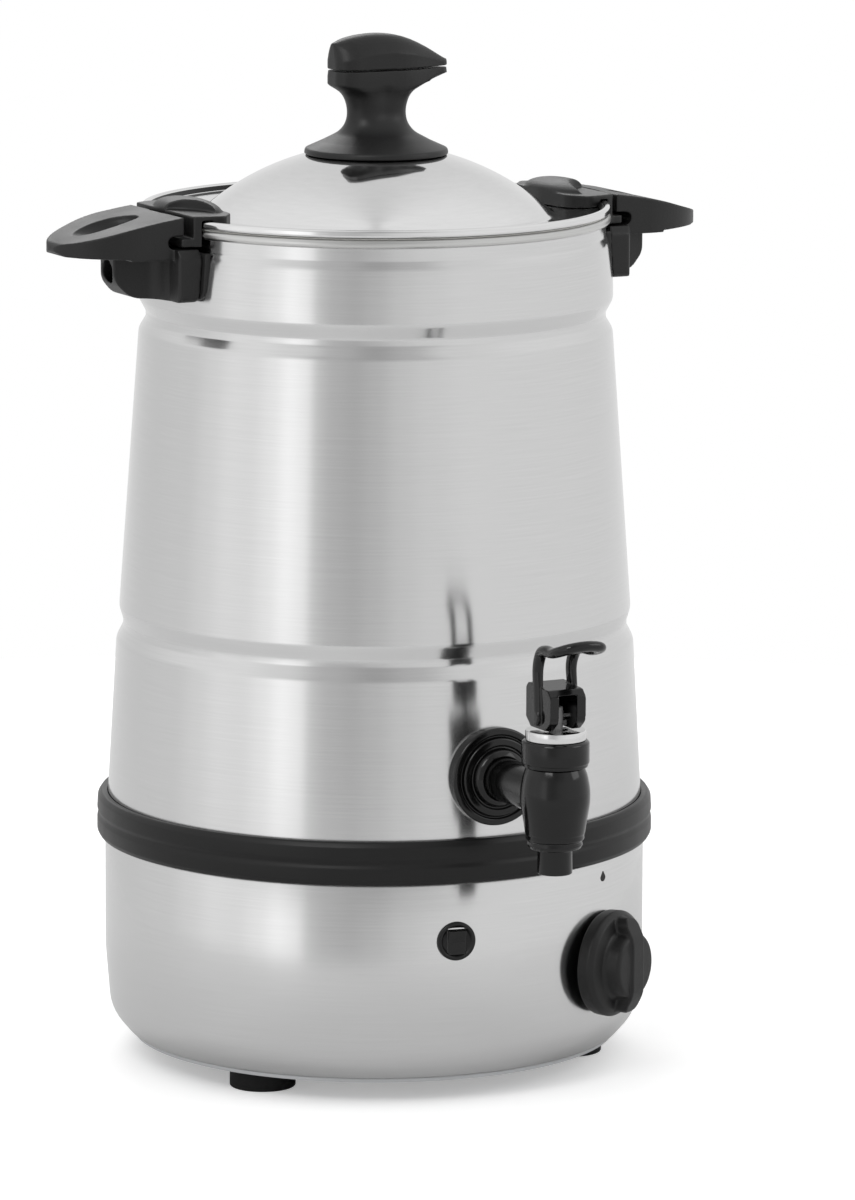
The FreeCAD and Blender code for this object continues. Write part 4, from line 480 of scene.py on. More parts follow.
def rounded(corners, step=12.0, closed=True):
    """Replace each corner that has a radius by a short arc."""
    count = len(corners)
    path = []
    for index, corner in enumerate(corners):
        here = Vector(corner[:2])
        at_end = not closed and index in (0, count - 1)
        if len(corner) == 2 or at_end:
            path.append(here)
            continue
        before = (Vector(corners[index - 1][:2]) - here).normalized()
        after = (Vector(corners[(index + 1) % count][:2]) - here).normalized()
        between = before.angle(after)
        if math.pi - between < 0.02:
            path.append(here)
            continue
        reach = corner[2] / math.tan(between / 2)
        centre = here + (before + after).normalized() * (corner[2] / math.sin(between / 2))
        start = here + before * reach - centre
        sweep = math.pi - between
        side = 1 if start.cross(here + after * reach - centre) > 0 else -1
        pieces = max(2, math.ceil(math.degrees(sweep) / step))
        for piece in range(pieces + 1):
            turned = Matrix.Rotation(side * sweep * piece / pieces, 2) @ start
            path.append(centre + turned)
    return path


# %% [markdown]
# A mesh becomes a piece when it has a finish, a body to ride on and the solids that it stands for.

# %% Making pieces
def new_piece(name, mesh, matrix=None):
    """An object for a mesh, which a matrix moves first if one is given."""
    if matrix is not None:
        mesh.transform(matrix)
    piece = bpy.data.objects.new(name, mesh)
    bpy.context.scene.collection.objects.link(piece)
    return piece


def finish_piece(piece, material, slot, body, *solids, smooth_below=38):
    """Shade a piece, give it its material, and tie it to its body and solids; the slot is not used."""
    mesh = piece.data
    mesh.materials.clear()
    mesh.materials.append(materials[material])
    mesh.shade_smooth()
    mesh.set_sharp_from_angle(angle=math.radians(smooth_below))
    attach(piece, body)
    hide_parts(*solids)
    if not materials[material].node_tree.nodes["Principled BSDF"].inputs["Metallic"].default_value:
        lamp_lit.objects.link(piece)
    print(f"{piece.name}: {len(mesh.polygons)} faces, on {body}")
    return piece


def turned_mesh(name, outline, segments=192):
    """Turn a closed outline of (radius, height) about Z; points on the axis become one vertex."""
    form = bmesh.new()
    rings = []
    for radius, height in outline:
        if radius < 1e-6:
            rings.append([form.verts.new((0, 0, height * MM))])
            continue
        ring = []
        for index in range(segments):
            turn = 2 * math.pi * index / segments
            across, forward = radius * MM * math.cos(turn), radius * MM * math.sin(turn)
            ring.append(form.verts.new((across, forward, height * MM)))
        rings.append(ring)
    for index, ring in enumerate(rings):
        following = rings[(index + 1) % len(rings)]
        for step in range(segments):
            corner = [
                ring[step % len(ring)], ring[(step + 1) % len(ring)],
                following[(step + 1) % len(following)], following[step % len(following)],
            ]
            corner = list(dict.fromkeys(corner))
            if len(corner) > 2:
                form.faces.new(corner)
    bmesh.ops.recalc_face_normals(form, faces=form.faces)
    mesh = bpy.data.meshes.new(name)
    form.to_mesh(mesh)
    form.free()
    return mesh


TAP_REACH = 166.0
TAP_HEIGHT = 138.9
TAP_PLACE = Matrix.Translation((0, -TAP_REACH * MM, 0))
TAP_LINE = Matrix.Translation((0, 0, TAP_HEIGHT * MM)) @ Matrix.Rotation(math.pi / 2, 4, "X")


def wall_line(angle, height):
    """The line that points out through the wall at an angle from the tap."""
    turn = Matrix.Rotation(math.radians(angle), 4, "Z")
    return turn @ Matrix.Translation((0, 0, height * MM)) @ Matrix.Rotation(math.pi / 2, 4, "X")


# %% [markdown]
# ## The vessel
# The outer sheet tapers up from the band, with two rolled beads that stiffen it and catch a bright
# and a dark line each. The outline runs up the outside and down the inside, one sheet apart.

# %% Outer sheet
SHEET = 0.8
GROOVE_HALF = 1.5
GROOVE_ROUND = 3.2


def groove(radius, height):
    """The two soft corners of a rolled bead, where the sheet dips inwards."""
    return [(radius, height - GROOVE_HALF, GROOVE_ROUND), (radius, height + GROOVE_HALF, GROOVE_ROUND)]


outer_sheet = [
    (114.4, 103.0), (110.0, 179.5, 6.0), *groove(107.1, 186.6),
    (108.7, 193.5, 6.0), (100.2, 312.0, 6.0), *groove(97.2, 318.4),
    (100.2, 325.4, 5.0), (100.2, 333.0, 60.0), (98.4, 349.0, 8.0), (97.0, 351.8, 3.0), (97.0, 357.1),
]
outside = rounded(outer_sheet, closed=False)
inside = [Vector((point.x - SHEET, point.y)) for point in reversed(outside)]
casing = new_piece("casing", turned_mesh("casing", outside + inside, 256))
finish_piece(casing, "brushed_body", "brushed_sheet", "housing", "upper_casing", smooth_below=50)

# %% [markdown]
# The base is a straight shell with a soft turn at its foot. It ends under the band.

# %% Base shell
base_sheet = [
    (115.0, 106.0), (115.0, 46.0, 110.0), (112.8, 20.0, 16.0), (104.5, 10.4, 5.0), (96.0, 10.4),
]
outside = rounded(base_sheet, closed=False, step=8.0)
inside = [Vector((point.x - SHEET * 0.7, point.y + SHEET * 0.7)) for point in reversed(outside)]
base_shell = new_piece("base_shell", turned_mesh("base_shell", outside + inside, 256))
finish_piece(base_shell, "brushed_body", "brushed_sheet", "housing", "base_casing", smooth_below=50)

# %% [markdown]
# The tank hangs inside, and only its rolled rim shows. The rim rests on the neck of the outer sheet.

# %% Tank
tank_outline = rounded([
    (0, 120.0), (94.5, 120.0, 6.0), (94.5, 351.0, 2.0), (95.9, 356.2, 0.6), (95.9, 357.2),
    (99.1, 357.2, 1.75), (99.1, 360.9, 1.75), (94.6, 360.9, 1.4), (93.7, 349.0, 2.0),
    (93.7, 120.8, 5.2), (0, 120.8),
])
tank_shell = new_piece("tank_shell", turned_mesh("tank_shell", tank_outline, 256))
finish_piece(tank_shell, "tank_sheet", "tank_sheet", "housing", "tank")

# %% [markdown]
# The band covers the seam. It is a soft extrusion with two round bulges and a shallow valley between.

# %% Joint band
band_outline = rounded([
    (115.1, 95.7), (117.2, 95.2, 1.2), (118.4, 97.4, 1.6), (118.4, 102.6, 2.4), (117.55, 104.5, 1.6),
    (118.4, 106.4, 2.4), (118.1, 111.6, 1.6), (116.6, 113.9, 1.4), (114.1, 113.5), (114.5, 106.0),
    (110.7, 106.0), (110.7, 103.0), (115.1, 103.0),
])
band = new_piece("band", turned_mesh("band", band_outline, 256))
finish_piece(band, "band_rubber", "band_rubber", "housing", "joint_band")

# %% [markdown]
# ## The lid
# A polished dome rises from a nearly flat brim, and the brim ends in a rolled lip. The brim is what
# the locking ears stand on.

# %% Lid
DOME_TOP = 389.6
DOME_CURVE = 111.5
DOME_REACH = 75.0


def dome_line(reach, depth=0.0, pieces=40):
    """Points along the dome from its top to a reach, at a depth under its skin."""
    curve = DOME_CURVE - depth
    places = [reach * index / pieces for index in range(pieces + 1)]
    centre = DOME_TOP - DOME_CURVE
    return [Vector((place, centre + math.sqrt(curve * curve - place * place))) for place in places]


lid_outline = (
    dome_line(DOME_REACH - 1.2)
    + rounded([
        (75.4, 360.55), (77.0, 360.75, 3.0), (94.6, 362.1, 2.5), (96.3, 364.8, 1.0), (98.9, 364.9, 1.2),
        (99.1, 361.7, 1.2), (96.4, 361.4, 0.8), (94.8, 361.2, 1.0), (75.9, 359.8, 2.0), (74.8, 359.9),
    ], closed=False)
    + dome_line(DOME_REACH - 1.8, SHEET)[::-1]
)
lid_shell = new_piece("lid_shell", turned_mesh("lid_shell", lid_outline, 256))
finish_piece(lid_shell, "polished_lid", "polished_sheet", "lid", "lid", smooth_below=45)

# %% [markdown]
# A thin dark ring in the corner where the brim meets its lip is painted shade: it puts a dark part where
# that corner is only in shade, and shows as a black line along the far side. The lid's gasket is the wider ring
# underneath.

# %% Painted shade at the lip
lip_shade_outline = rounded([
    (94.9, 362.2), (96.3, 363.2), (96.5, 364.3, 0.3), (95.6, 364.1, 0.4), (94.4, 362.4, 0.2),
])
# Painted shade: a dark rubber ring that stands in for the shade in the corner of the lip.
painted_lip_shade = new_piece("painted_lip_shade", turned_mesh("painted_lip_shade", lip_shade_outline, 256))
painted_lip_shade.data.materials.append(materials["band_rubber"])
painted_lip_shade.data.shade_smooth()
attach(painted_lip_shade, "lid")
print("lip bead:", len(painted_lip_shade.data.polygons), "faces")

# %% Gasket
gasket_outline = rounded([
    (91.6, 354.2, 0.4), (93.4, 354.0, 0.4), (93.5, 359.2, 0.5), (94.8, 361.0, 0.3), (97.4, 360.95, 0.1),
    (97.4, 361.3, 0.1), (95.0, 361.3, 0.6), (92.4, 360.7, 0.6), (91.6, 359.6, 0.4),
])
gasket_ring = new_piece("gasket_ring", turned_mesh("gasket_ring", gasket_outline, 192))
finish_piece(gasket_ring, "silicone", "silicone", "gasket", "lid_gasket")

# %% [markdown]
# ## Moulded shapes
# The grips are cut and joined from simple prisms and balls, as a mould maker thinks of them. A voxel
# remesh then welds the result into one skin, and a little smoothing rounds every edge as a mould does.

# %% Cutting and joining
def prism(outline, axis, low, high):
    """A closed outline in millimetres, pushed between two places along an axis."""
    form = bmesh.new()
    turned = {
        "X": lambda point, depth: (depth, point[0], point[1]),
        "Y": lambda point, depth: (point[0], depth, point[1]),
        "Z": lambda point, depth: (point[0], point[1], depth),
    }[axis]
    first = [form.verts.new(Vector(turned(point, low)) * MM) for point in outline]
    last = [form.verts.new(Vector(turned(point, high)) * MM) for point in outline]
    form.faces.new(first)
    form.faces.new(last)
    for index in range(len(outline)):
        after = (index + 1) % len(outline)
        form.faces.new((first[index], first[after], last[after], last[index]))
    bmesh.ops.recalc_face_normals(form, faces=form.faces)
    mesh = bpy.data.meshes.new("prism")
    form.to_mesh(mesh)
    form.free()
    return new_piece("prism", mesh)


def ball(centre, half_sizes, segments=48):
    """An ellipsoid."""
    form = bmesh.new()
    bmesh.ops.create_uvsphere(form, u_segments=segments, v_segments=segments // 2, radius=1.0)
    mesh = bpy.data.meshes.new("ball")
    form.to_mesh(mesh)
    form.free()
    scale = Matrix.Diagonal((*[size * MM for size in half_sizes], 1.0))
    return new_piece("ball", mesh, Matrix.Translation(Vector(centre) * MM) @ scale)


def settle(piece):
    """Replace a piece's mesh by the result of its modifiers."""
    graph = bpy.context.evaluated_depsgraph_get()
    mesh = bpy.data.meshes.new_from_object(piece.evaluated_get(graph))
    piece.modifiers.clear()
    piece.data = mesh
    return piece


def combine(piece, tool, how):
    """Join, cut or intersect a piece with a tool, which is used up."""
    change = piece.modifiers.new("combine", "BOOLEAN")
    change.operation = how
    change.solver = "MANIFOLD"
    change.object = tool
    settle(piece)
    bpy.data.objects.remove(tool)
    return piece


def weld(piece, voxel, rounds):
    """Turn the piece into one even skin and smooth its edges."""
    skin = piece.modifiers.new("skin", "REMESH")
    skin.mode = "VOXEL"
    skin.voxel_size = voxel * MM
    soft = piece.modifiers.new("soft", "SMOOTH")
    soft.factor = 0.5
    soft.iterations = rounds
    return settle(piece)


def copy_turned(piece, name):
    """The same piece on the other side of the urn."""
    mesh = piece.data.copy()
    return new_piece(name, mesh, Matrix.Rotation(math.pi, 4, "Z"))

# %% [markdown]
# A handle is a leaf-shaped grip with a dished thumb rest, above a hollow finger that hides the fixing
# screw. A slot under its root takes the tongue of the locking ear.

# %% Handle
LEAF_HALF = 26.3
LEAF_START = 118.0
LEAF_REACH = 31.9
LEAF_ROUND = 1.75

leaf_edge = []
for index in range(25):
    share = math.sin(math.pi / 2 * index / 24)
    half = LEAF_HALF * math.sqrt(max(0.0, 1 - share ** LEAF_ROUND))
    leaf_edge.append((LEAF_START + LEAF_REACH * share, half))
leaf_plan = [(84.0, -LEAF_HALF)] + [(across, -half) for across, half in leaf_edge]
leaf_plan += [(across, half) for across, half in leaf_edge[-2::-1]] + [(84.0, LEAF_HALF)]
handle_side = rounded([
    (101.1, 366.4, 0.5), (108.0, 365.4, 60.0), (118.0, 363.8, 80.0), (126.0, 361.9, 80.0),
    (134.0, 359.6, 80.0),
    (142.0, 357.4, 60.0), (149.2, 355.3, 3.0), (150.0, 352.4, 1.6), (147.5, 350.4, 2.0), (130.0, 349.9),
    (124.4, 349.8), (124.2, 338.6, 9.0), (117.4, 331.7, 9.0), (107.0, 331.4), (84, 331.5),
    (84, 353.3), (108.2, 353.3, 2.6), (108.2, 358.7, 2.6), (101.1, 358.7),
], step=8.0)
lower_plan = rounded([
    (84, -31.6), (105.4, -31.6, 2.0), (105.8, -22.0, 4.0), (108.6, -12.4, 9.0), (121.0, -8.2, 20.0),
    (124.4, -7.2, 1.6), (124.4, 7.2, 1.6), (121.0, 8.2, 20.0), (108.6, 12.4, 9.0), (105.8, 22.0, 4.0),
    (105.4, 31.6, 2.0), (84, 31.6),
], step=8.0)
handle_end = rounded([
    (-31.6, 331.4, 3.0), (31.6, 331.4, 3.0), (31.6, 350.0, 3.0), (26.6, 357.6, 2.0), (26.6, 372.0),
    (-26.6, 372.0), (-26.6, 357.6, 2.0), (-31.6, 350.0, 3.0),
], step=10.0)
handle_right = combine(prism(leaf_plan, "Z", 349.0, 370.0), prism(handle_side, "Y", -40, 40), "INTERSECT")
lower = combine(prism(lower_plan, "Z", 330.0, 356.0), prism(handle_side, "Y", -40, 40), "INTERSECT")
combine(handle_right, lower, "UNION")
combine(handle_right, prism(handle_end, "X", 80, 160), "INTERSECT")
cone_clear = [
    (0.0, 325.0), (102.3, 325.0), (101.6, 336.0), (100.6, 349.3), (100.3, 353.6), (101.9, 354.0),
    (101.9, 370.0), (0.0, 370.0),
]
wall_tool = new_piece("wall_tool", turned_mesh("wall_tool", [Vector(point) for point in cone_clear], 128))
combine(handle_right, wall_tool, "DIFFERENCE")
combine(handle_right, ball((129.0, 0.0, 364.2), (18.5, 9.6, 7.6)), "DIFFERENCE")
access_outline = [Vector(point) for point in ((0, 111.5), (4.9, 111.5), (4.9, 130), (0, 130))]
access = turned_mesh("access", access_outline, 48)
towards_right_side = Matrix.Translation((0, 0, 0.3425)) @ Matrix.Rotation(math.pi / 2, 4, "Y")
combine(handle_right, new_piece("access", access, towards_right_side), "DIFFERENCE")
weld(handle_right, 0.42, 3)
handle_right.name = "grip_right"
grip_left = copy_turned(handle_right, "grip_left")
finish_piece(handle_right, "grip_plastic", "handle_plastic", "housing", "handle_right")
finish_piece(grip_left, "grip_plastic", "handle_plastic", "housing", "handle_left")

# %% [markdown]
# A curved plate lies between the handle and the wall, with a dark gap in front of it.

# %% Handle plates
plate_outline = [Vector(point) for point in ((99.9, 332.4), (101.4, 332.4), (100.2, 351.8), (98.0, 351.8))]
plate_ring = new_piece("wall_plate_right", turned_mesh("wall_plate_right", plate_outline, 256))
plate_face = rounded([
    (-33.4, 332.3, 4.5), (33.4, 332.3, 4.5), (33.4, 352.0, 1.0), (-33.4, 352.0, 1.0),
], step=10.0)
combine(plate_ring, prism(plate_face, "X", 60, 120), "INTERSECT")
weld(plate_ring, 0.4, 2)
plate_left = copy_turned(plate_ring, "wall_plate_left")
finish_piece(plate_ring, "grip_plastic", "handle_plastic", "housing", "handle_plate_right")
finish_piece(plate_left, "grip_plastic", "handle_plastic", "housing", "handle_plate_left")

# %% [markdown]
# A locking ear lies on the brim. Its inner end rises in a finger bump, its outer end steps over the
# lip and hooks a tongue into the slot of the handle.

# %% Locking ear
ear_plan = rounded([
    (98.0, -28.6, 1.2), (98.0, 28.6, 1.2), (93.4, 31.0, 4.0), (85.0, 32.6, 3.0), (78.6, 24.0, 12.0),
    (77.0, 0.0, 40.0), (78.6, -24.0, 12.0), (85.0, -32.6, 3.0), (93.4, -31.0, 4.0),
], step=8.0)
ear_right = prism(ear_plan, "Z", 354.2, 367.0)
tongue_plan = rounded([(90, -28.4), (103.0, -28.4, 1.6), (103.0, 28.4, 1.6), (90, 28.4)])
combine(ear_right, prism(tongue_plan, "Z", 354.2, 357.6), "UNION")
finger_bump = ball((87.5, 0, 366.4), (11.0, 25.0, 5.2))
combine(finger_bump, prism(ear_plan, "Z", 362.0, 375.0), "INTERSECT")
scoop_outline = [Vector(point) for point in ((0, 367.0), (20.5, 367.0), (21.5, 380.0), (0, 380.0))]
scoop = turned_mesh("scoop", scoop_outline, 96)
combine(finger_bump, new_piece("scoop", scoop, Matrix.Translation((0.1055, -0.0195, 0))), "DIFFERENCE")
combine(ear_right, finger_bump, "UNION")
lip_clear = [
    (0, 340), (99.45, 340), (99.45, 365.2), (95.6, 365.2), (95.4, 362.3), (75.2, 360.8), (0, 360.8),
]
lip_tool = new_piece("lip_tool", turned_mesh("lip_tool", [Vector(point) for point in lip_clear], 256))
combine(ear_right, lip_tool, "DIFFERENCE")
weld(ear_right, 0.42, 3)
ear_right.name = "ear_right"
ear_left = new_piece("ear_left", ear_right.data.copy(), Matrix.Diagonal((-1.0, 1.0, 1.0, 1.0)))
ear_left.data.flip_normals()
finish_piece(ear_right, "grip_plastic", "handle_plastic", "lid", "lid_ear_right")
finish_piece(ear_left, "grip_plastic", "handle_plastic", "lid", "lid_ear_left")

# %% [markdown]
# ## The lid knob
# The knob has a waisted stem on a round flange. Its head is a bar with one blunt end and one pointed
# end, split by a fine groove where the cap clips on.

# %% Plan of the bar
KNOB_PLAN = rounded([
    (-20.8, -7.8, 6.6), (-14.0, -9.8, 12.0), (12.0, -10.2, 30.0), (33.0, -2.2, 4.0), (33.0, 2.2, 4.0),
    (12.0, 10.2, 30.0), (-14.0, 9.8, 12.0), (-20.8, 7.8, 6.6),
], step=6.0)
KNOB_TURNS = [2 * math.pi * index / 180 for index in range(180)]


def reach_of(outline, turn):
    """Distance from the middle to an outline in one direction."""
    ray = Vector((math.cos(turn), math.sin(turn)))
    best = 0.0
    for first, second in zip(outline, outline[1:] + outline[:1]):
        side = second - first
        cross = ray.x * side.y - ray.y * side.x
        if abs(cross) < 1e-9:
            continue
        along = (first.x * side.y - first.y * side.x) / cross
        share = (first.x * ray.y - first.y * ray.x) / cross
        if along > best and -1e-6 <= share <= 1 + 1e-6:
            best = along
    return best


def ringed_mesh(name, rings):
    """A closed skin through rings of equal count; the first and last rings are filled."""
    form = bmesh.new()
    rows = [[form.verts.new(Vector(point) * MM) for point in ring] for ring in rings]
    for low_row, high_row in zip(rows, rows[1:]):
        for index in range(len(low_row)):
            after = (index + 1) % len(low_row)
            form.faces.new((low_row[index], low_row[after], high_row[after], high_row[index]))
    form.faces.new(rows[0][::-1])
    form.faces.new(rows[-1])
    bmesh.ops.recalc_face_normals(form, faces=form.faces)
    mesh = bpy.data.meshes.new(name)
    form.to_mesh(mesh)
    form.free()
    return mesh


bar_reach = [reach_of(KNOB_PLAN, turn) for turn in KNOB_TURNS]
print("bar reach:", round(min(bar_reach), 2), "to", round(max(bar_reach), 2))

# %% [markdown]
# The stem changes its plan on the way up: a circle on the dome, an oval at the waist, the bar's own
# plan at the top. Each height gets one ring, and a soft minimum lets the flare run into the bar's side.

# %% Knob stem
stem_line = rounded([
    (29.6, 385.9), (30.4, 386.1, 0.6), (30.1, 388.2, 1.5), (23.0, 391.4, 14.0), (13.6, 396.5, 10.0),
    (12.6, 405.0, 14.0), (15.0, 411.6, 9.0), (22.0, 415.6, 12.0), (36.0, 419.0),
], closed=False, step=4.0)
BAR_BLEND = 1.6


def smooth_step(low, high, value):
    """0 below low, 1 above high, with a soft change between them."""
    share = min(1.0, max(0.0, (value - low) / (high - low)))
    return share * share * (3 - 2 * share)


def soft_least(first, second, width):
    """The smaller of two sizes, rounded where they meet."""
    share = max(width - abs(first - second), 0.0) / width
    return min(first, second) - share * share * width / 4


stem_rings = []
for flare, level in [(20.0, 389.9), (28.8, 386.2)] + [tuple(point) for point in stem_line] + [(36.0, 421.2)]:
    ring = []
    for turn, reach in zip(KNOB_TURNS, bar_reach):
        oval = 1 - 0.36 * smooth_step(391.0, 404.0, level) - 0.14 * smooth_step(405.0, 416.0, level)
        radius = flare * math.hypot(math.cos(turn), oval * math.sin(turn))
        into_bar = smooth_step(404.0, 412.0, level)
        radius += (soft_least(radius, reach, BAR_BLEND) - radius) * into_bar
        if level > 421.0:
            radius -= 0.3
        ring.append((radius * math.cos(turn), radius * math.sin(turn), level))
    stem_rings.append(ring)
stem = new_piece("knob_neck", ringed_mesh("knob_neck", stem_rings))
finish_piece(stem, "grip_plastic", "handle_plastic", "lid", "knob_stem", smooth_below=60)

# %% [markdown]
# The cap is a height drawn over the bar's plan. A ridge line runs along the middle and an edge line
# along the side, and each slice between them is a shallow arch.

# %% Knob cap
RIDGE = (
    (-20.6, 432.6), (-18.0, 434.2), (-13.3, 435.6), (-8.0, 436.4), (-2.4, 436.8), (3.0, 436.6),
    (8.5, 435.8), (14.0, 434.2), (19.5, 431.8), (25.0, 428.9), (29.0, 426.4), (33.0, 424.2),
)
EDGE = (
    (-20.6, 425.4), (-16.0, 426.2), (-11.0, 427.6), (-5.0, 428.7), (4.0, 429.0), (14.0, 427.8),
    (22.0, 426.0), (28.0, 424.4), (33.0, 423.3),
)


def height_on(line, place):
    """Height of a line of (place, height) pairs at a place, with soft corners."""
    total = weight_sum = 0.0
    for offset in (-2.4, -1.2, 0.0, 1.2, 2.4):
        here = min(max(place + offset, line[0][0]), line[-1][0])
        for first, second in zip(line, line[1:]):
            if first[0] <= here <= second[0]:
                share = (here - first[0]) / (second[0] - first[0])
                total += first[1] + (second[1] - first[1]) * share
                weight_sum += 1.0
                break
    return total / weight_sum


def half_width_on(outline, place):
    """Half the width of the bar's plan at a place."""
    widest = 0.0
    for first, second in zip(outline, outline[1:] + outline[:1]):
        low_end, high_end = min(first.x, second.x), max(first.x, second.x)
        if low_end <= place <= high_end and high_end > low_end:
            share = (place - first.x) / (second.x - first.x)
            widest = max(widest, abs(first.y + (second.y - first.y) * share))
    return max(widest, 0.5)


CAP_FOOT = 421.95
cap_rings = [[
    (reach * math.cos(turn), reach * math.sin(turn), CAP_FOOT) for turn, reach in zip(KNOB_TURNS, bar_reach)
]]
for share in (1.0, 0.985, 0.95, 0.9, 0.82, 0.72, 0.6, 0.48, 0.36, 0.24, 0.12, 0.02):
    ring = []
    for turn, reach in zip(KNOB_TURNS, bar_reach):
        place_x, place_y = share * reach * math.cos(turn), share * reach * math.sin(turn)
        out = min(1.0, abs(place_y) / half_width_on(KNOB_PLAN, place_x))
        low_line, high_line = height_on(EDGE, place_x), height_on(RIDGE, place_x)
        ring.append((place_x, place_y, low_line + (high_line - low_line) * (1 - out ** 2.6)))
    cap_rings.append(ring)
cap = new_piece("knob_top", ringed_mesh("knob_top", cap_rings))
weld(cap, 0.36, 3)
finish_piece(cap, "grip_plastic", "handle_plastic", "lid", "knob_cap")

# %% [markdown]
# ## The tap
# The tap is glossy black. A stepped rose covers the hole in the wall, a shank carries the barrel, and
# a threaded collar closes it. A bright ring sits between the collar and the lever.

# %% Rose
rose_outline = rounded([
    (9.1, 110.0), (20.4, 110.0), (20.5, 115.6, 1.0), (17.8, 116.0, 0.6), (17.4, 115.0, 0.4),
    (16.8, 115.0, 0.4), (16.2, 117.0, 0.8), (13.6, 117.4, 0.6), (13.0, 116.6, 0.4), (12.4, 116.8, 0.4),
    (11.6, 119.4, 2.0), (9.1, 121.2, 0.5),
])
rose = new_piece("rose", turned_mesh("rose", rose_outline, 128), TAP_LINE)
WALL_AT_TAP = 112.4
WALL_SLOPE = 0.0587
for vertex in rose.data.vertices:
    if vertex.co.y > -0.1105:
        wall = (WALL_AT_TAP + (TAP_HEIGHT - vertex.co.z / MM) * WALL_SLOPE) * MM
        vertex.co.y = -math.sqrt(wall * wall - vertex.co.x * vertex.co.x) - 0.00005
finish_piece(rose, "tap_plastic", "tap_plastic", "housing", "tap_rose")

# %% Barrel and shank
barrel_outline = rounded([
    (4.9, 108.0, 0.6), (7.2, 108.0, 0.6), (7.1, 118.0, 0.8), (10.6, 118.8, 0.9), (11.4, 120.2, 0.8),
    (11.0, 121.6, 0.3), (11.2, 122.0, 0.3), (12.0, 122.6, 0.8), (12.0, 124.4, 0.6), (12.3, 125.2, 1.0),
    (13.2, 131.5, 20.0), (14.3, 137.5, 20.0), (14.3, 143.5, 20.0), (13.2, 149.0, 12.0), (11.9, 152.3, 0.6),
    (11.6, 152.4), (11.6, 160.4),
    (9.6, 160.4), (9.6, 128.0, 1.0), (5.0, 126.0, 0.8), (5.0, 108.6),
], step=8.0)
barrel = new_piece("barrel", turned_mesh("barrel", barrel_outline, 128), TAP_PLACE)
shank_outline = [Vector(point) for point in ((5.6, 82.0), (9.0, 82.0), (9.0, 154.5), (5.6, 155.5))]
shank = new_piece("shank", turned_mesh("shank", shank_outline, 96), TAP_LINE)
combine(barrel, shank, "UNION")
bore_outline = [Vector(point) for point in ((0.0, 80.0), (5.6, 80.0), (5.6, 160.0), (0.0, 160.0))]
combine(barrel, new_piece("bore", turned_mesh("bore", bore_outline, 64), TAP_LINE), "DIFFERENCE")
finish_piece(barrel, "tap_plastic", "tap_plastic", "housing", "tap_body")

# %% Collar and bright ring
collar_outline = rounded([
    (12.5, 152.6), (13.3, 152.6, 0.4), (13.5, 154.0, 0.4), (13.9, 154.3, 0.5), (13.9, 162.6, 1.2),
    (12.9, 163.4, 0.6), (6.4, 163.4, 0.3), (6.4, 161.9), (12.5, 161.9),
])
collar = new_piece("collar", turned_mesh("collar", collar_outline, 128), TAP_PLACE)
finish_piece(collar, "tap_plastic", "tap_plastic", "housing", "tap_collar")
ring_outline = rounded([
    (5.2, 163.5), (12.3, 163.5, 0.4), (12.4, 165.0), (12.4, 167.6, 0.5), (5.2, 167.6, 0.3),
])
bright = new_piece("bright_collar", turned_mesh("bright_collar", ring_outline, 128), TAP_PLACE)
finish_piece(bright, "bright_ring", "bright_ring", "housing", "trim_ring")

# %% [markdown]
# The lever straddles the stem with two cheeks, whose flat feet stand just above the ring. Two arms rise from it
# to an open loop for the finger.

# %% Lever
PIN_HEIGHT = 173.3


def on_lever(points):
    """Move an outline drawn about the pin to its place in the side view of the tap."""
    return [(point[0] - TAP_REACH, point[1] + PIN_HEIGHT) for point in points]


cheek_outline = rounded([
    (-6.0, -4.75), (6.6, -4.75, 0.5), (10.8, -1.2, 1.0), (10.8, 11.2, 2.0), (8.6, 13.2, 1.0),
    (-8.0, 12.0, 1.5), (-10.7, 9.2, 1.5), (-10.7, -1.0, 3.6),
], step=8.0)
lever = prism(on_lever(cheek_outline), "X", -8.1, 8.1)
slot_outline = [(-14.0, -8.0), (7.4, -8.0), (7.4, 9.8), (-14.0, 9.8)]
combine(lever, prism(on_lever(slot_outline), "X", -4.1, 4.1), "DIFFERENCE")

# %% [markdown]
# The arms and the loop are one bent rod. Its middle line is written as a few points, a smooth curve
# runs through them, and an oval section follows the curve without twisting.

# %% Rod of the lever
ROD_SIDES = 28
ROD_POINTS = (
    # across, forwards (negative) from the pin, up from the pin, half width, half thickness
    (-8.2, 0.0, -1.6, 1.7, 3.1), (-8.2, 0.3, 5.0, 1.7, 3.0), (-7.8, 1.0, 13.0, 1.9, 2.9),
    (-7.6, 1.2, 20.5, 2.2, 2.7), (-7.8, -1.9, 26.6, 2.5, 2.4), (-8.3, -7.0, 28.4, 2.7, 2.3),
    (-8.9, -13.5, 28.6, 2.9, 2.2), (-9.0, -19.3, 30.0, 2.9, 2.2), (-6.8, -23.5, 31.6, 2.9, 2.2),
    (-2.4, -24.9, 32.4, 2.9, 2.2),
)


def smooth_line(points, pieces=5):
    """A curve through points by the Catmull and Rom rule."""
    rows = [Vector(point) for point in points]
    rows = [rows[0] * 2 - rows[1]] + rows + [rows[-1] * 2 - rows[-2]]
    line = []
    for before, start, end, after in zip(rows, rows[1:], rows[2:], rows[3:]):
        for index in range(pieces):
            share = index / pieces
            line.append(0.5 * (
                2 * start + (end - before) * share + (2 * before - 5 * start + 4 * end - after) * share ** 2
                + (3 * start - before - 3 * end + after) * share ** 3))
    return line + [rows[-2]]


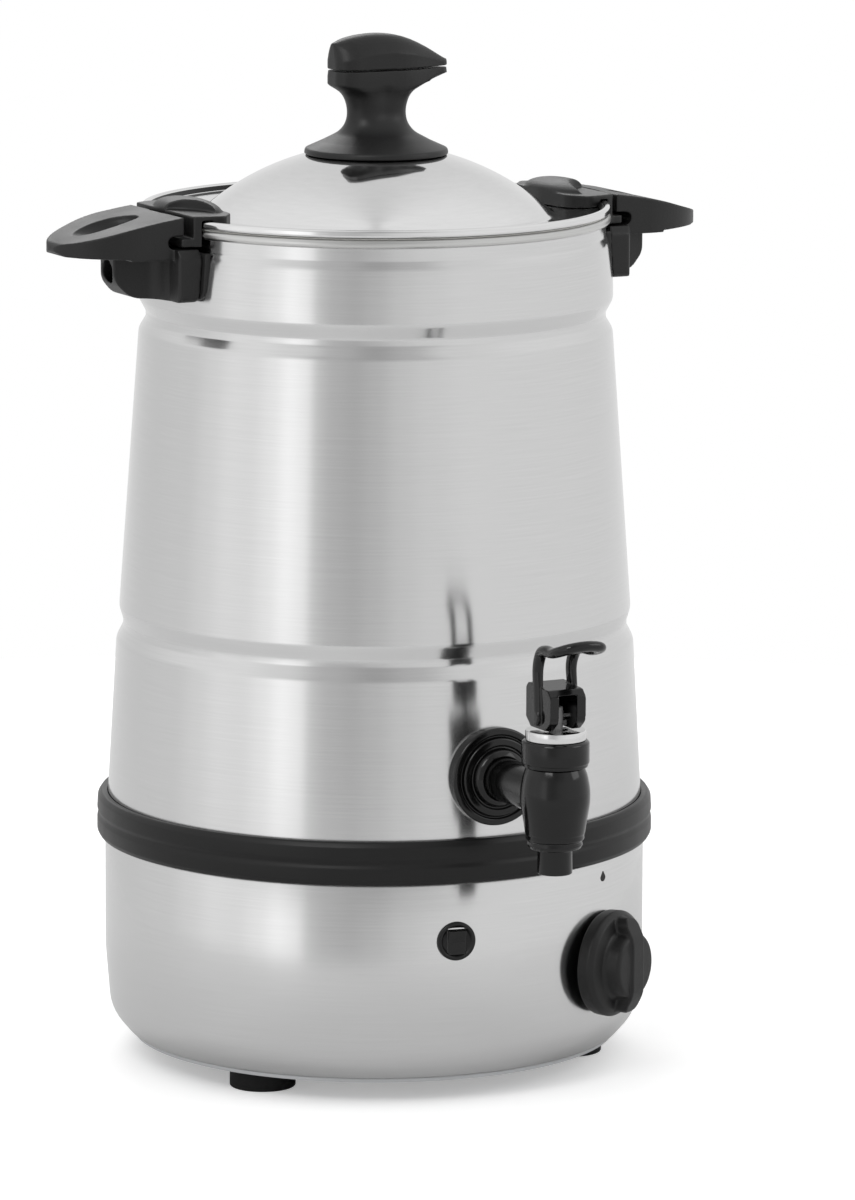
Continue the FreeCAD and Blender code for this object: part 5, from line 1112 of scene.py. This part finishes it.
mirrored_points = [(-point[0], *point[1:]) for point in reversed(ROD_POINTS)]
rod_line = smooth_line(ROD_POINTS + tuple(mirrored_points))
rod_rings = []
side = Vector((1.0, 0.0, 0.0))
for index, row in enumerate(rod_line):
    middle = Vector(row[:3])
    ahead_row, behind_row = rod_line[min(index + 1, len(rod_line) - 1)], rod_line[max(index - 1, 0)]
    heading = (Vector(ahead_row[:3]) - Vector(behind_row[:3])).normalized()
    side = (side - heading * side.dot(heading)).normalized()
    up = heading.cross(side)
    ring = []
    for step in range(ROD_SIDES):
        turn = 2 * math.pi * step / ROD_SIDES
        offset = side * (row[3] * math.cos(turn)) + up * (row[4] * math.sin(turn))
        point = middle + offset
        ring.append((point.x, point.y - TAP_REACH, point.z + PIN_HEIGHT))
    rod_rings.append(ring)
rod = new_piece("rod", ringed_mesh("rod", rod_rings))
combine(lever, rod, "UNION")
for hand in (-1, 1):
    boss = turned_mesh("boss", rounded([(0.0, 7.0), (3.3, 7.0), (3.3, 9.9, 0.8), (0.0, 10.0)]), 48)
    sideways = Matrix.Rotation(hand * math.pi / 2, 4, "Y")
    boss_line = Matrix.Translation((0, -TAP_REACH * MM, PIN_HEIGHT * MM)) @ sideways
    combine(lever, new_piece("boss", boss, boss_line), "UNION")
weld(lever, 0.3, 3)
lever.name = "lever_loop"
finish_piece(lever, "tap_plastic", "tap_plastic", "lever", "tap_lever")

# %% [markdown]
# ## The controls
# The dial sits low on the right of the tap, and a small round switch sits to its left.

# %% Dial
DIAL_ANGLE = 30.3
DIAL_HEIGHT = 52.0

dial_outline = rounded([
    (3.0, 120.5), (11.0, 120.5), (11.0, 116.2), (22.2, 116.2, 0.6), (22.5, 121.6, 1.4), (20.6, 123.6, 1.0),
    (14.6, 125.0, 2.0), (13.8, 131.6, 2.0), (0.0, 132.4), (0.0, 129.0), (3.0, 129.0),
], step=8.0)
dial = new_piece("dial", turned_mesh("dial", dial_outline, 128))
bar_plan = rounded([(-4.4, -20.4, 3.6), (4.4, -20.4, 3.6), (4.4, 20.4, 3.6), (-4.4, 20.4, 3.6)], step=10.0)
bar_side = rounded([
    (-21.5, 121.0), (-20.5, 128.6, 4.0), (-12.0, 133.1, 12.0), (12.0, 133.1, 12.0), (20.5, 128.6, 4.0),
    (21.5, 121.0),
], step=8.0)
grip_bar = combine(prism(bar_plan, "Z", 121.0, 134.0), prism(bar_side, "X", -10, 10), "INTERSECT")
combine(dial, grip_bar, "UNION")
weld(dial, 0.42, 3)
dial.data.transform(wall_line(DIAL_ANGLE, DIAL_HEIGHT))
finish_piece(dial, "grip_plastic", "dial_plastic", "dial", "dial_knob")

# %% Switch
SWITCH_ANGLE = -9.1
SWITCH_HEIGHT = 71.0

bezel_outline = rounded([
    (0.0, 96.0), (6.9, 96.0, 0.4), (6.9, 115.0), (8.2, 115.0, 0.2), (8.2, 116.2, 0.7), (6.9, 116.6, 0.6),
    (5.9, 115.4, 0.5), (0.0, 115.2),
])
bezel = new_piece("bezel", turned_mesh("bezel", bezel_outline, 96))
combine(bezel, prism([(-4.0, -5.6), (4.0, -5.6), (4.0, 5.6), (-4.0, 5.6)], "Z", 106.8, 120.0), "DIFFERENCE")
bezel.data.transform(wall_line(SWITCH_ANGLE, SWITCH_HEIGHT))
finish_piece(bezel, "satin_plastic", "black_plastic", "housing", "switch_frame")

# %% [markdown]
# A small printed drop above the dial is the mark that its pointer turns to.

# %% Dial mark
drop_outline = rounded([
    (0.0, 91.0, 0.3), (-1.8, 88.4, 1.6), (-1.8, 86.4, 1.8), (1.8, 86.4, 1.8), (1.8, 88.4, 1.6),
], step=12.0)
mark = prism(drop_outline, "Y", -115.12, -114.9)
mark.name = "dial_mark"
mark.data.transform(Matrix.Rotation(math.radians(DIAL_ANGLE), 4, "Z"))
mark.data.materials.append(materials["satin_plastic"])
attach(mark, "housing")
print("dial mark:", len(mark.data.polygons), "faces")

# %% [markdown]
# ## Feet and inlet
# Three rubber feet and the cord's gland are plain turned pieces with their edges broken.

# %% Feet
FOOT_COUNT = 3
FOOT_CIRCLE = 84.0

foot_outline = rounded([
    (0.0, 0.0), (13.9, 0.0, 0.8), (13.9, 8.0, 0.6), (0.0, 8.0),
])
foot_meshes = bmesh.new()
for number in range(FOOT_COUNT):
    spin = math.radians(90 + 360 / FOOT_COUNT * number)
    mesh = turned_mesh("foot", foot_outline, 64)
    reach = FOOT_CIRCLE * MM
    mesh.transform(Matrix.Translation((reach * math.cos(spin), reach * math.sin(spin), 0)))
    foot_meshes.from_mesh(mesh)
feet_mesh = bpy.data.meshes.new("foot_set")
foot_meshes.to_mesh(feet_mesh)
foot_meshes.free()
foot_set = new_piece("foot_set", feet_mesh)
finish_piece(foot_set, "foot_rubber", "foot_rubber", "housing", "feet")

# %% Gland
GLAND_HEIGHT = 32.0

gland_outline = rounded([
    (3.6, 105.4, 0.4), (6.0, 105.4, 0.4), (6.0, 115.0), (9.5, 115.0, 0.3), (9.5, 117.6, 0.8),
    (7.6, 119.0, 0.8), (3.6, 119.0, 0.8),
])
rear_line = Matrix.Translation((0, 0, GLAND_HEIGHT * MM)) @ Matrix.Rotation(-math.pi / 2, 4, "X")
gland = new_piece("gland", turned_mesh("gland", gland_outline, 96), rear_line)
finish_piece(gland, "satin_plastic", "black_plastic", "housing", "cable_gland")

# %% [markdown]
# ## Finishes for the solids that stay
# The pieces inside the base, the fasteners and the seals keep their solids. Each takes the finish of
# its slot, so that they also look right with the lid off or from below.

# %% Solids that stay
SLOT_FINISH = {
    "brushed_sheet": "brushed_body", "polished_sheet": "polished_lid", "band_rubber": "band_rubber",
    "handle_plastic": "grip_plastic", "dial_plastic": "grip_plastic", "black_plastic": "satin_plastic",
    "inner_plastic": "cream_plastic",
}
for entry in frame["record"]["subparts"]:
    node = frame["nodes"][entry["node"]]
    if node.hide_render:
        continue
    finish = SLOT_FINISH.get(entry["material_slot"], entry["material_slot"])
    node.data.materials.clear()
    node.data.materials.append(materials[finish])
    node.data.shade_smooth()
    node.data.set_sharp_from_angle(angle=math.radians(30))
    print(entry["node"], "->", finish)

# %% [markdown]
# ## Last

# %% View transform
bpy.context.scene.view_settings.view_transform = "Standard"
